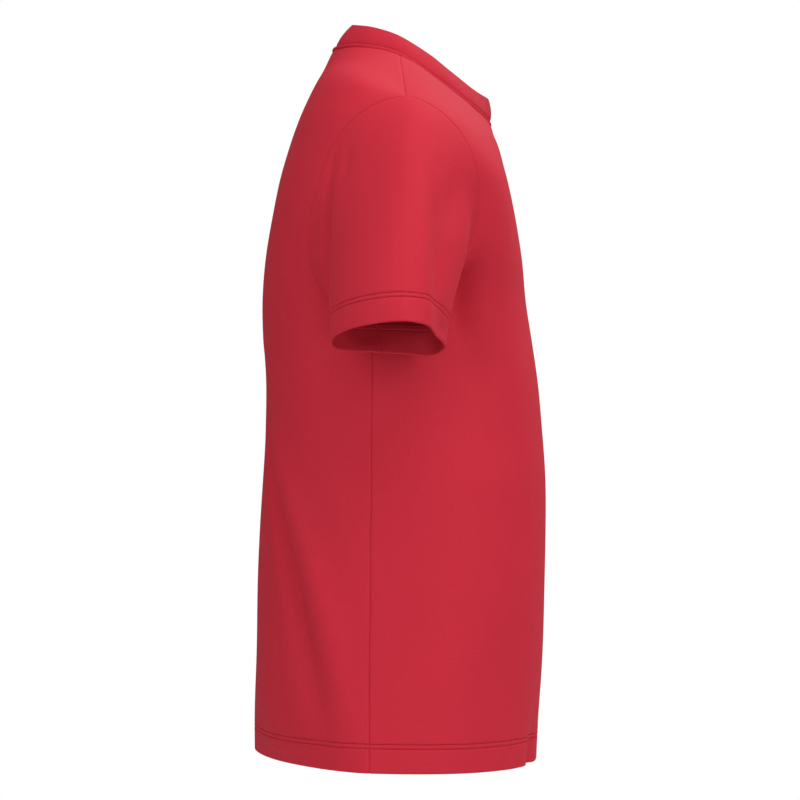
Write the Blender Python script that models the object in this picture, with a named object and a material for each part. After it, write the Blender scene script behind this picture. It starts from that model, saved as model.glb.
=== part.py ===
"""A crew-neck T-shirt with short set-in sleeves, filled out as it is when worn.

Metres, +Z up. The front of the shirt faces -Y and the wearer's left is +X. The origin is midway between
the two shoulder seams, where the wearer's shoulders carry it. Each piece is a wall of cloth round an open
hollow, and pieces that are sewn together lie a seam's gap apart.
"""
import math

import bmesh
import bpy
import numpy as np

# Cloth
JERSEY = 0.0012            # one layer of jersey
HEM_JERSEY = 0.0022        # a turned-up hem, with the extra cloth on the inside
RIB = 0.0022               # the neckband, folded double
SEAM_GAP = 0.0003          # between two pieces that are sewn together
HEM_DEPTH = 0.028          # body and sleeve hems

# Where the seams meet, on the wearer's left; the right side mirrors them
NECK_POINT = (0.085, 0.0005, 0.0285)         # shoulder seam at the neckband
SHOULDER_POINT = (0.2085, -0.0050, -0.0275)  # shoulder seam at the sleeve
UNDERARM_Y = 0.0260                          # side seam at the armhole
UNDERARM_Z = -0.2390

# Rings round the trunk, from the hem up. Above the underarm a ring runs on past the armhole, as the
# shoulder's own form would. front and back are the middle of each panel, and side is the side seam.
# Columns: height, front, back, half_width, side, front_squareness, back_squareness
RINGS = (
    (-0.6832, -0.1405, 0.1482, 0.194, 0.030, 2.20, 1.70),
    (-0.6400, -0.1419, 0.1488, 0.193, 0.030, 2.25, 2.00),
    (-0.5800, -0.1454, 0.1478, 0.190, 0.030, 2.30, 2.15),
    (-0.5200, -0.1481, 0.1460, 0.187, 0.029, 2.35, 2.25),
    (-0.4600, -0.1495, 0.1426, 0.184, 0.029, 2.35, 2.30),
    (-0.4000, -0.1485, 0.1399, 0.181, 0.028, 2.40, 2.40),
    (-0.3500, -0.1448, 0.1380, 0.180, 0.028, 2.40, 2.40),
    (-0.3000, -0.1405, 0.1370, 0.181, 0.027, 2.45, 2.45),
    (-0.2600, -0.1350, 0.1389, 0.183, 0.027, 2.50, 2.50),
    (-0.2200, -0.1288, 0.1396, 0.187, 0.025, 2.65, 2.65),
    (-0.1750, -0.1243, 0.1366, 0.197, 0.019, 2.85, 2.85),
    (-0.1300, -0.1158, 0.1290, 0.208, 0.010, 3.10, 3.10),
)
HEM_TILT = 0.0300          # the hem is lower in front, by this much for each metre of depth
HEM_TILT_REACH = 0.30      # height above the hem over which that tilt fades

# Rows of each panel between the rings and its top edge: they climb from the middle to the shoulder
# Columns: middle_y, middle_z, side_x, side_y, side_z, squareness
YOKES = {
    "front": ((-0.1055, -0.0900, 0.216, 0.001, -0.080, 3.30),
              (-0.0985, -0.0580, 0.2165, -0.006, -0.048, 2.35)),
    "back": ((0.1182, -0.0820, 0.212, 0.002, -0.082, 3.00),
             (0.0965, -0.0210, 0.215, -0.002, -0.050, 2.80),
             (0.0795, 0.0130, 0.2125, -0.0035, -0.038, 2.20)),
}

# The way each panel runs as it meets its top edge: at the middle, at the neck point and at the shoulder
TOP_RUNS = {
    "front": ((0.0, 0.25, 0.97), (-0.55, 0.78, 0.47), (0.0, 1.0, 0.0)),
    "back": ((0.0, -0.50, 0.86), (-0.55, -0.74, 0.0), (0.0, -1.0, 0.0)),
}

# Half of the neckline, from the middle of the back to the middle of the front
# Columns: x, y, z
NECKLINE = (
    (0.0, 0.0660, 0.0410),
    (0.041, 0.0585, 0.0405),
    (0.069, 0.0350, 0.0380),
    NECK_POINT,
    (0.0885, -0.0255, 0.0117),
    (0.077, -0.0560, -0.0090),
    (0.048, -0.0815, -0.0268),
    (0.0, -0.0928, -0.0345),
)

# Half of the neckband's top edge, over the same stretch: along is its share of the neckline's length
# Columns: along, x, y, z
BAND_TOP = (
    (0.00, 0.0, 0.0495, 0.0648),
    (0.16, 0.0350, 0.0430, 0.0615),
    (0.30, 0.0570, 0.0245, 0.0565),
    (0.43, 0.0695, 0.0000, 0.0468),
    (0.55, 0.0720, -0.0265, 0.0305),
    (0.72, 0.0630, -0.0500, 0.0130),
    (0.86, 0.0400, -0.0750, -0.0048),
    (1.00, 0.0, -0.0908, -0.0110),
)
BAND_CROWN = 0.0015        # how far the rib bows out between its two edges

# The armhole seam as seen from the side, from the underarm round by the front to the shoulder and back
# Columns: y, z
ARMHOLE = (
    (UNDERARM_Y, UNDERARM_Z),
    (-0.0120, -0.2310),
    (-0.0440, -0.2060),
    (-0.0660, -0.1720),
    (-0.0755, -0.1380),
    (-0.0765, -0.1130),
    (-0.0660, -0.0740),
    (-0.0416, -0.0440),
    (SHOULDER_POINT[1], SHOULDER_POINT[2]),
    (0.0184, -0.0324),
    (0.0562, -0.0605),
    (0.0784, -0.1060),
    (0.0885, -0.1650),
    (0.0862, -0.1936),
    (0.0700, -0.2200),
    (0.0500, -0.2335),
)
ARMHOLE_TOP = 8            # the shoulder point's row in that table

# The sleeve's opening, all round from the underarm seam, going forward first
# Columns: x, y
OPENING = (
    (0.2000, 0.0175),
    (0.1960, -0.0050),
    (0.1915, -0.0300),
    (0.2165, -0.0435),
    (0.2560, -0.0350),
    (0.2860, -0.0265),
    (0.3005, -0.0090),
    (0.2915, 0.0280),
    (0.2700, 0.0530),
    (0.2410, 0.0660),
    (0.2140, 0.0620),
    (0.2030, 0.0400),
)
OPENING_Z = -0.2745        # at the underarm seam
OPENING_RISE = 0.285       # how much the opening's edge climbs for each metre outwards

# At the underarm the sleeve leaves its seam outwards; higher up it runs on from the panels
UNDERARM_RUN = (1.0, 0.0, -0.45)
UNDERARM_RUN_SHARE = 0.45  # of the armhole's height, over which the one turns into the other
OPENING_RUN = (0.22, 0.0, -0.975)
RUN_SMOOTHING = 2          # times that each direction is evened out with those beside it
ROUNDING = 2               # times that the sleeve's own rows are evened out
ROUND_RISE = 0.25          # share of the way down over which that sets in
ROUND_FALL = 0.35          # and over which it goes again before the opening
START_PULL = 0.85          # how stiffly the sleeve keeps those directions, in lengths of its chord
END_PULL = 1.0

# Soft folds: the line each one follows and how far it sinks in, or stands out where depth is below zero.
# across is 0 at the middle of the panel and 1 at its side seam.
# Columns: height, across, depth, half_width
FOLDS = {
    ("back", -1): (
        ((-0.670, 0.81, 0.0, 0.024), (-0.606, 0.765, 0.0055, 0.022), (-0.556, 0.705, 0.0090, 0.020),
         (-0.515, 0.65, 0.0100, 0.020), (-0.470, 0.58, 0.0100, 0.020), (-0.418, 0.47, 0.0080, 0.020),
         (-0.371, 0.335, 0.0055, 0.020), (-0.305, 0.18, 0.0020, 0.020), (-0.260, 0.10, 0.0, 0.020)),
        ((-0.680, 0.90, 0.0, 0.022), (-0.606, 0.865, -0.0028, 0.022), (-0.556, 0.825, -0.0050, 0.021),
         (-0.515, 0.785, -0.0060, 0.021), (-0.470, 0.725, -0.0062, 0.021), (-0.418, 0.62, -0.0052, 0.022),
         (-0.371, 0.50, -0.0030, 0.024), (-0.320, 0.40, 0.0, 0.024)),
    ),
    ("back", 1): (
        ((-0.660, 0.80, 0.0, 0.024), (-0.610, 0.76, 0.0048, 0.022), (-0.555, 0.695, 0.0076, 0.020),
         (-0.500, 0.62, 0.0086, 0.020), (-0.440, 0.51, 0.0074, 0.020), (-0.385, 0.375, 0.0042, 0.020),
         (-0.320, 0.215, 0.0, 0.020)),
        ((-0.670, 0.89, 0.0, 0.022), (-0.600, 0.855, -0.0026, 0.022), (-0.540, 0.805, -0.0046, 0.021),
         (-0.475, 0.715, -0.0050, 0.021), (-0.415, 0.59, -0.0034, 0.022), (-0.350, 0.46, 0.0, 0.024)),
    ),
    ("front", -1): (
        ((-0.390, 0.56, 0.0, 0.036), (-0.330, 0.58, 0.0040, 0.036), (-0.280, 0.60, 0.0080, 0.036),
         (-0.235, 0.63, 0.0102, 0.034), (-0.195, 0.67, 0.0110, 0.030), (-0.160, 0.74, 0.0070, 0.024),
         (-0.120, 0.84, 0.0, 0.018)),
        ((-0.215, 0.56, 0.0, 0.034), (-0.165, 0.54, -0.0030, 0.036), (-0.120, 0.54, -0.0038, 0.038),
         (-0.070, 0.50, 0.0, 0.036)),
        ((-0.690, 0.22, 0.0045, 0.016), (-0.620, 0.19, 0.0020, 0.016), (-0.560, 0.16, 0.0, 0.016)),
    ),
    ("front", 1): (
        ((-0.395, 0.54, 0.0, 0.036), (-0.335, 0.57, 0.0035, 0.036), (-0.285, 0.60, 0.0075, 0.035),
         (-0.240, 0.64, 0.0100, 0.033), (-0.200, 0.68, 0.0104, 0.029), (-0.165, 0.75, 0.0064, 0.023),
         (-0.125, 0.84, 0.0, 0.018)),
        ((-0.220, 0.55, 0.0, 0.034), (-0.170, 0.53, -0.0026, 0.036), (-0.125, 0.52, -0.0034, 0.038),
         (-0.075, 0.48, 0.0, 0.036)),
        ((-0.690, 0.36, 0.0035, 0.018), (-0.640, 0.33, 0.0020, 0.018), (-0.580, 0.30, 0.0, 0.018)),
    ),
}
FOLD_EDGE = 0.90           # folds die out from here to the panel's edge
FOLD_SPAN = 0.28           # half a panel's width round the trunk, which turns across into metres

# Soft folds of a sleeve: down is its share of the way to the opening, and round its share of the way round
# from the underarm seam, going forward first.
# Columns: down, round, depth, half_width
SLEEVE_FOLDS = {
    -1: (
        ((0.02, 0.660, 0.0, 0.012), (0.14, 0.750, 0.0060, 0.012), (0.26, 0.795, 0.0085, 0.013),
         (0.48, 0.845, 0.0085, 0.014), (0.80, 0.870, 0.0030, 0.014), (0.95, 0.880, 0.0, 0.014)),
        ((0.02, 0.230, 0.0, 0.036), (0.16, 0.245, -0.0085, 0.036), (0.36, 0.265, -0.0125, 0.034),
         (0.56, 0.280, -0.0090, 0.034), (0.76, 0.295, -0.0035, 0.034), (0.94, 0.290, 0.0, 0.030)),
        ((0.28, 0.410, 0.0, 0.016), (0.46, 0.400, 0.0020, 0.014), (0.64, 0.392, 0.0012, 0.013),
         (0.84, 0.385, 0.0, 0.013)),
    ),
    1: (
        ((0.02, 0.670, 0.0, 0.012), (0.15, 0.755, 0.0055, 0.012), (0.30, 0.800, 0.0080, 0.013),
         (0.50, 0.840, 0.0075, 0.014), (0.78, 0.865, 0.0030, 0.014), (0.93, 0.875, 0.0, 0.014)),
        ((0.02, 0.235, 0.0, 0.036), (0.17, 0.250, -0.0080, 0.036), (0.38, 0.270, -0.0115, 0.034),
         (0.58, 0.285, -0.0082, 0.034), (0.78, 0.295, -0.0032, 0.034), (0.95, 0.290, 0.0, 0.030)),
        ((0.30, 0.415, 0.0, 0.016), (0.48, 0.405, 0.0018, 0.014), (0.66, 0.396, 0.0010, 0.013),
         (0.84, 0.390, 0.0, 0.013)),
    ),
}

# The grid of each piece
NECK_STEPS = 7             # across half of a neckline
SHOULDER_STEPS = 6         # along a shoulder seam
NECK_SHARE = 0.42          # of half a panel's width, in the columns that end on the neckline
ARMHOLE_STEPS = 13         # along each half of an armhole
TRUNK_STEPS = 14           # from the top of the hem to the underarm
SLEEVE_STEPS = 9           # from the armhole to the sleeve's hem
BAND_STEPS = 3
HEM_ROWS = (0.0, 0.5, 0.98, 1.06)  # in depths of the hem
UNDERARM_DIP = 0.060       # the grid's underarm row sags by this much away from the side seam
DIP_START = 0.55           # share of the way across where it starts to climb to the seam
SAMPLES = 400              # points on a curve whose length is measured

RED = (0.55, 0.035, 0.055, 1.0)
RED_RIB = (0.50, 0.030, 0.048, 1.0)
ROUGHNESS = 0.85


def unit(vectors):
    return vectors / np.maximum(np.linalg.norm(vectors, axis=-1, keepdims=True), 1e-12)


def hermite(start, end, start_slope, end_slope, t):
    return (start * (2 * t**3 - 3 * t**2 + 1) + start_slope * (t**3 - 2 * t**2 + t)
            + end * (3 * t**2 - 2 * t**3) + end_slope * (t**3 - t**2))


def along(knots, values, at, end_slope=None):
    """Read a smooth curve through values, given at the knots, at each place in at.

    values holds one row for each knot. Where it holds a column of points for each place, as a loft's rows
    do, each place reads its own column.
    """
    knots = np.asarray(knots, float)
    values = np.asarray(values, float)
    at = np.clip(np.asarray(at, float), knots[0], knots[-1])
    gaps = np.diff(knots).reshape((-1,) + (1,) * (values.ndim - 1))
    chords = np.diff(values, axis=0) / gaps
    slopes = np.concatenate([chords[:1], chords[:1], chords[1:]])
    slopes[1:-1] = (chords[:-1] * gaps[1:] + chords[1:] * gaps[:-1]) / (gaps[:-1] + gaps[1:])
    if end_slope is not None:
        slopes[-1] = end_slope
    index = np.clip(np.searchsorted(knots, at, side="right") - 1, 0, len(knots) - 2)
    gap = np.diff(knots)[index]
    t = (at - knots[index]) / gap
    if values.ndim > 1:
        t = t[..., None]
        gap = gap[..., None]
    column = (np.arange(len(at)),) if values.ndim == 3 else ()
    here = (index,) + column
    there = (index + 1,) + column
    return hermite(values[here], values[there], slopes[here] * gap, slopes[there] * gap, t)


def stretch(points, first, last, shares):
    """Points at shares of the length of the smooth curve through points, from its first to its last."""
    points = np.asarray(points, float)
    knots = np.concatenate([[0.0], np.cumsum(np.linalg.norm(np.diff(points, axis=0), axis=1))])
    fine = np.linspace(knots[first], knots[last], SAMPLES)
    steps = np.linalg.norm(np.diff(along(knots, points, fine), axis=0), axis=1)
    lengths = np.concatenate([[0.0], np.cumsum(steps)])
    return along(knots, points, np.interp(shares, lengths / lengths[-1], fine))


def mirrored(point):
    return (-point[0],) + tuple(point[1:])


def neckline(panel, shares):
    """Half of a panel's neckline, from its middle (0) to the neck point (1)."""
    points = [mirrored(NECKLINE[1])] + list(NECKLINE) + [mirrored(NECKLINE[-2])]
    neck = points.index(NECK_POINT)
    if panel == "back":
        return stretch(points, 1, neck, shares)
    return stretch(points, neck, len(points) - 2, 1.0 - shares)


def armhole_seam(panel, shares):
    """Half of the armhole seam in the side view, from the underarm (0) to the shoulder point (1)."""
    points = [ARMHOLE[-1]] + list(ARMHOLE) + list(ARMHOLE[:2])
    if panel == "front":
        return stretch(points, 1, 1 + ARMHOLE_TOP, shares)
    return stretch(points, 1 + ARMHOLE_TOP, len(points) - 2, 1.0 - shares)


def top_edge(panel, across):
    """The top edge of half a panel: its neckline, then the shoulder seam."""
    shoulder = np.clip((across - NECK_SHARE) / (1.0 - NECK_SHARE), 0.0, 1.0)[:, None]
    seam = np.array(NECK_POINT) * (1.0 - shoulder) + np.array(SHOULDER_POINT) * shoulder
    neck = neckline(panel, np.clip(across / NECK_SHARE, 0.0, 1.0))
    return np.where(across[:, None] < NECK_SHARE - 1e-9, neck, seam)


def quarter_round(across, width, depth, squareness):
    """A quarter of a squared-off ellipse by its length: how far out it lies, and how far in depth."""
    angles = math.pi / 2 * np.sin(np.linspace(0.0, math.pi / 2, SAMPLES)) ** 2
    out = np.sin(angles) ** (2.0 / squareness)
    deep = np.abs(np.cos(angles)) ** (2.0 / squareness)
    deep[-1] = 0.0
    steps = np.hypot(np.diff(out) * width, np.diff(deep) * depth)
    lengths = np.concatenate([[0.0], np.cumsum(steps)])
    shares = lengths / lengths[-1]
    return np.interp(across, shares, out), np.interp(across, shares, deep)


def form_row(middle, side, squareness, across):
    """One row of a panel's form, from its middle to its side."""
    out, deep = quarter_round(across, side[0], middle[0] - side[1], squareness)
    y = side[1] + (middle[0] - side[1]) * deep
    z = side[2] + (middle[1] - side[2]) * deep
    return np.stack([side[0] * out, y, z], axis=-1)


class Form:
    """The smooth form that half a panel lies on: its rows, and a level for each."""

    def __init__(self, panel):
        self.panel = panel
        self.rows = []
        self.levels = []
        for height, front, back, half_width, side, front_squareness, back_squareness in RINGS:
            tilt = HEM_TILT * max(0.0, 1.0 - (height - RINGS[0][0]) / HEM_TILT_REACH)
            middle_y, squareness = (front, front_squareness) if panel == "front" else (back, back_squareness)
            middle = (middle_y, height + tilt * middle_y)
            self.rows.append((middle, (half_width, side, height + tilt * side), squareness))
            self.levels.append(height)
        for middle_y, middle_z, side_x, side_y, side_z, squareness in YOKES[panel]:
            self.rows.append(((middle_y, middle_z), (side_x, side_y, side_z), squareness))
        lofted = self.loft(np.linspace(0.0, 1.0, 21))
        for below, above in zip(lofted[len(RINGS) - 1:-1], lofted[len(RINGS):]):
            self.levels.append(self.levels[-1] + np.linalg.norm(above - below, axis=-1).mean())
        self.top = self.levels[-1]

    def loft(self, across):
        rows = [form_row(middle, side, squareness, across) for middle, side, squareness in self.rows]
        return np.array(rows + [top_edge(self.panel, across)])

    def points(self, across, level):
        rows = self.loft(across)
        runs = np.array(TOP_RUNS[self.panel])
        run = np.stack([np.interp(across, (0.0, NECK_SHARE, 1.0), runs[:, axis]) for axis in range(3)], -1)
        last = (rows[-1] - rows[-2]) / (self.levels[-1] - self.levels[-2])
        speed = np.linalg.norm(last, axis=-1, keepdims=True)
        return along(self.levels, rows, level, end_slope=unit(run) * speed)

    def find(self, targets):
        """Where the form has the given y and z: how far across, and at what level."""
        t = np.linspace(0.0, 1.0, len(targets))
        across = 1.0 - 0.35 * np.sin(math.pi * t)
        level = UNDERARM_Z + (self.top - UNDERARM_Z) * t
        step = 1e-5
        for _ in range(60):
            here = self.points(across, level)[:, 1:]
            miss = targets - here
            by_across = (here - self.points(across - step, level)[:, 1:]) / step
            by_level = (here - self.points(across, level - step)[:, 1:]) / step
            area = by_across[:, 0] * by_level[:, 1] - by_across[:, 1] * by_level[:, 0]
            area = np.where(np.abs(area) < 1e-4, 1e-4, area)
            across_step = (miss[:, 0] * by_level[:, 1] - miss[:, 1] * by_level[:, 0]) / area
            level_step = (by_across[:, 0] * miss[:, 1] - by_across[:, 1] * miss[:, 0]) / area
            across = np.clip(across + np.clip(across_step, -0.05, 0.05), 0.2, 1.0)
            level = np.clip(level + np.clip(level_step, -0.02, 0.02), RINGS[0][0], self.top)
        return across, level


def panel_rows(panel, form):
    """Each row of a panel's grid: its level in the middle and at the side, and how far across it reaches."""
    hem = RINGS[0][0]
    start = HEM_ROWS[-1] * HEM_DEPTH
    rise = UNDERARM_Z - hem
    trunk = start + (rise - start) * np.arange(1, TRUNK_STEPS + 1) / TRUNK_STEPS
    heights = np.concatenate([np.array(HEM_ROWS) * HEM_DEPTH, trunk])
    middle = hem + heights * (rise - UNDERARM_DIP) / rise
    middle[:len(HEM_ROWS)] = hem + heights[:len(HEM_ROWS)]
    climb = np.linspace(0.0, 1.0, ARMHOLE_STEPS + 1)
    reach, side = form.find(armhole_seam(panel, climb))
    reach[[0, -1]] = 1.0
    side[[0, -1]] = (UNDERARM_Z, form.top)
    upper = middle[-1] + (form.top - middle[-1]) * climb[1:]
    return (np.concatenate([middle, upper]), np.concatenate([hem + heights, side[1:]]),
            np.concatenate([np.ones(len(heights)), reach[1:]]))


def fold_depth(folds, across, height, width):
    """How far the folds push the cloth in at each point."""
    depth = np.zeros_like(across)
    for fold in folds:
        line = np.array(fold)
        inside = (height >= line[0, 0]) & (height <= line[-1, 0])
        centre, sink, spread = along(line[:, 0], line[:, 1:], height.ravel()).reshape(height.shape + (3,)).T
        away = (across - centre.T) * width / spread.T
        depth += np.where(inside, sink.T * np.exp(-away**2), 0.0)
    return depth


def panel_grid(panel):
    """The middle surface of a whole panel: a row of points for each height, right side to left."""
    form = Form(panel)
    middle, side, reach = panel_rows(panel, form)
    neck = NECK_SHARE * np.arange(NECK_STEPS) / NECK_STEPS
    shoulder = NECK_SHARE + (1.0 - NECK_SHARE) * np.arange(SHOULDER_STEPS + 1) / SHOULDER_STEPS
    columns = np.concatenate([neck, shoulder])
    climb = np.clip((columns - DIP_START) / (1.0 - DIP_START), 0.0, 1.0) ** 2
    across = columns[None, :] * reach[:, None]
    level = middle[:, None] + (side - middle)[:, None] * climb[None, :]
    half = form.points(across.ravel(), level.ravel()).reshape(level.shape + (3,))
    fade = np.clip((1.0 - columns) / (1.0 - FOLD_EDGE), 0.0, 1.0)[None, :]
    normals = outward(half, False)
    halves = []
    for hand in (-1, 1):
        depth = fold_depth(FOLDS[panel, hand], across, half[..., 2], FOLD_SPAN)
        folded = half - normals * (depth * fade)[..., None]
        folded[..., 0] *= hand
        halves.append(folded)
    right, left = halves
    middle_line = (right[:, :1] + left[:, :1]) / 2
    return np.concatenate([right[:, :0:-1], middle_line, left[:, 1:]], axis=1)


def outward(grid, closed):
    """The unit normals of a grid, on its outer side."""
    padded = np.concatenate([grid[:, -1:], grid, grid[:, :1]], axis=1) if closed else grid
    across = np.gradient(padded, axis=1)
    if closed:
        across = across[:, 1:-1]
    normals = unit(np.cross(across, np.gradient(grid, axis=0)))
    facing = np.sum(normals * (grid - grid.mean(axis=(0, 1))))
    return normals if facing > 0 else -normals


def armhole_run(panel_edge, panel_inside):
    """The way the cloth runs on from a panel, square to the armhole's seam."""
    tangent = unit(np.gradient(panel_edge, axis=0))
    run = panel_edge - panel_inside
    return unit(run - tangent * np.sum(run * tangent, axis=-1, keepdims=True))


def sleeve_grid(front, back, hand):
    """The middle surface of one sleeve: rows from the armhole to the opening, all round."""
    loops = []
    runs = []
    for panel, last in ((front, hand > 0), (back, hand < 0)):
        beside = panel[-ARMHOLE_STEPS - 1:]
        seam, near = (beside[:, -1], beside[:, -2]) if last else (beside[:, 0], beside[:, 1])
        loops.append(seam)
        runs.append(armhole_run(seam, near))
    start = np.concatenate([loops[0], loops[1][-2:0:-1]])
    run = np.concatenate([runs[0], runs[1][-2:0:-1]])
    climb = (start[:, 2] - UNDERARM_Z) / (SHOULDER_POINT[2] - UNDERARM_Z) / UNDERARM_RUN_SHARE
    climb = np.clip(climb, 0.0, 1.0)[:, None]
    climb = climb**2 * (3.0 - 2.0 * climb)
    mirror = np.array((hand, 1.0, 1.0))
    for _ in range(RUN_SMOOTHING):
        run = unit(np.roll(run, 1, axis=0) + 2.0 * run + np.roll(run, -1, axis=0))
    run = unit(run * climb + unit(np.array(UNDERARM_RUN)) * mirror * (1.0 - climb))
    steps = np.linalg.norm(np.diff(start, axis=0, append=start[:1]), axis=1)
    shares = np.concatenate([[0.0], np.cumsum(steps)[:-1]]) / steps.sum()
    ring = [OPENING[-1]] + list(OPENING) + list(OPENING[:2])
    opening = stretch(ring, 1, len(OPENING) + 1, shares)
    opening_z = OPENING_Z + OPENING_RISE * (opening[:, 0] - OPENING[0][0])
    end = np.column_stack([opening, opening_z]) * mirror
    chord = np.linalg.norm(end - start, axis=1, keepdims=True)
    t = np.linspace(0.0, 1.0, SAMPLES)[:, None, None]
    arrive = unit(np.array(OPENING_RUN)) * mirror
    fine = hermite(start, end, run * chord * START_PULL, arrive * chord * END_PULL, t)
    grid = rounded(np.stack([hemmed_column(fine[:, column]) for column in range(len(start))], axis=1))
    return grid - outward(grid, True) * sleeve_fold_depth(hand, grid, shares)[..., None]


def rounded(grid):
    """Even out a sleeve's rows all round, with each row's girth kept, but not at its two ends."""
    down = np.linspace(0.0, 1.0, len(grid))[:, None, None]
    weight = np.clip(down / ROUND_RISE, 0.0, 1.0) * np.clip((1.0 - down) / ROUND_FALL, 0.0, 1.0)
    even = grid
    for _ in range(ROUNDING):
        even = (np.roll(even, 1, axis=1) + 2.0 * even + np.roll(even, -1, axis=1)) / 4
    middle = even.mean(axis=1, keepdims=True)
    return grid + (middle + (even - middle) * girths(grid) / girths(even) - grid) * weight


def girths(grid):
    """The length round each row of a closed grid."""
    return np.linalg.norm(np.diff(grid, axis=1, append=grid[:, :1]), axis=-1).sum(axis=1)[:, None, None]


def sleeve_fold_depth(hand, grid, shares):
    """How far a sleeve's folds push the cloth in at each point."""
    down = np.linspace(0.0, 1.0, len(grid))
    girth = girths(grid)[:, 0, 0]
    depth = np.zeros(grid.shape[:2])
    for fold in SLEEVE_FOLDS[hand]:
        line = np.array(fold)
        centre, sink, spread = along(line[:, 0], line[:, 1:], down).T
        inside = (down >= line[0, 0]) & (down <= line[-1, 0])
        away = (shares[None, :] - centre[:, None]) * (girth / spread)[:, None]
        depth += np.where(inside, sink, 0.0)[:, None] * np.exp(-away**2)
    return depth


def hemmed_column(line):
    """Points down a sleeve: even steps, then the hem's own rows at its edge."""
    lengths = np.concatenate([[0.0], np.cumsum(np.linalg.norm(np.diff(line, axis=0), axis=1))])
    hem = lengths[-1] - np.array(HEM_ROWS[::-1]) * HEM_DEPTH
    body = np.linspace(0.0, hem[0], SLEEVE_STEPS + 1)[:-1]
    at = np.concatenate([body, hem])
    return np.stack([np.interp(at, lengths, line[:, axis]) for axis in range(3)], axis=-1)


def band_grid(front, back):
    """The middle surface of the neckband: rows from the neck seam up, all round from the middle of the back."""
    middle = NECK_STEPS + SHOULDER_STEPS
    neck = slice(middle - NECK_STEPS, middle + NECK_STEPS + 1)
    back_neck = back[-1, neck]
    front_neck = front[-1, neck]
    half = np.concatenate([back_neck[NECK_STEPS:], front_neck[1:NECK_STEPS + 1]])
    other = np.concatenate([front_neck[NECK_STEPS + 1:], back_neck[1:NECK_STEPS]])
    seam = np.concatenate([half, other])
    lengths = np.concatenate([[0.0], np.cumsum(np.linalg.norm(np.diff(half, axis=0), axis=1))])
    table = np.array(BAND_TOP)
    before = table[1] * (-1, -1, 1, 1)
    after = (2.0 - table[-2, 0], -table[-2, 1], table[-2, 2], table[-2, 3])
    table = np.vstack([before, table, after])
    top = along(table[:, 0], table[:, 1:], lengths / lengths[-1])
    top = np.concatenate([top * (-1.0, 1.0, 1.0), top[-2:0:-1]])
    up = np.linspace(0.0, 1.0, BAND_STEPS + 1)[:, None, None]
    grid = seam * (1.0 - up) + top * up
    return grid + outward(grid, True) * BAND_CROWN * np.sin(math.pi * up)


def edges_of(shape, closed):
    """The edge lines of a grid: the cells on each line and the cells just inside it."""
    rows, columns = np.indices(shape)
    lines = [(rows[0], columns[0], rows[1], columns[1]), (rows[-1], columns[-1], rows[-2], columns[-2])]
    if not closed:
        lines.append((rows[:, 0], columns[:, 0], rows[:, 1], columns[:, 1]))
        lines.append((rows[:, -1], columns[:, -1], rows[:, -2], columns[:, -2]))
    return lines


def seam_key(point):
    return tuple(np.round(point / 1e-6).astype(int))


def share_seams(grids):
    """For each piece, the way its wall's thickness runs: its normals, halved with its neighbour's at a seam."""
    normals = {name: outward(grid, closed) for name, (grid, closed) in grids.items()}
    met = {}
    for name, (grid, closed) in grids.items():
        side = "trunk" if name in ("front", "back") else name
        for row, column, _, _ in edges_of(grid.shape[:2], closed):
            for r, c in zip(row, column):
                met.setdefault(seam_key(grid[r, c]), {}).setdefault(side, []).append(normals[name][r, c])
    leans = {}
    for name, (grid, closed) in grids.items():
        lean = normals[name].copy()
        for row, column, _, _ in edges_of(grid.shape[:2], closed):
            for r, c in zip(row, column):
                sides = [unit(np.sum(side, axis=0)) for side in met[seam_key(grid[r, c])].values()]
                shared = np.mean(sides, axis=0)
                lean[r, c] = shared / max(shared @ shared, 0.2)
        leans[name] = lean
    return leans


def line_turns(line, closed):
    """The mean direction of a line at each of its points, and how far a corner there stretches a set-back."""
    if closed:
        line = np.concatenate([line[-1:], line, line[:1]])
    steps = unit(np.diff(line, axis=0))
    if not closed:
        steps = np.concatenate([steps[:1], steps, steps[-1:]])
    mean = (steps[:-1] + steps[1:]) / 2
    return unit(mean), 1.0 / np.maximum(np.sum(mean**2, axis=-1, keepdims=True), 0.2)


def part_seams(grid, lean, closed):
    """Draw each edge of a piece back by half a seam's gap."""
    shifted = grid.copy()
    for row, column, inner_row, inner_column in edges_of(grid.shape[:2], closed):
        edge = grid[row, column]
        tangent, turn = line_turns(edge, closed)
        normal = unit(lean[row, column])
        inward = grid[inner_row, inner_column] - edge
        inward -= tangent * np.sum(inward * tangent, axis=-1, keepdims=True)
        inward -= normal * np.sum(inward * normal, axis=-1, keepdims=True)
        shifted[row, column] += unit(inward) * turn * SEAM_GAP / 2
    return shifted


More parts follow.
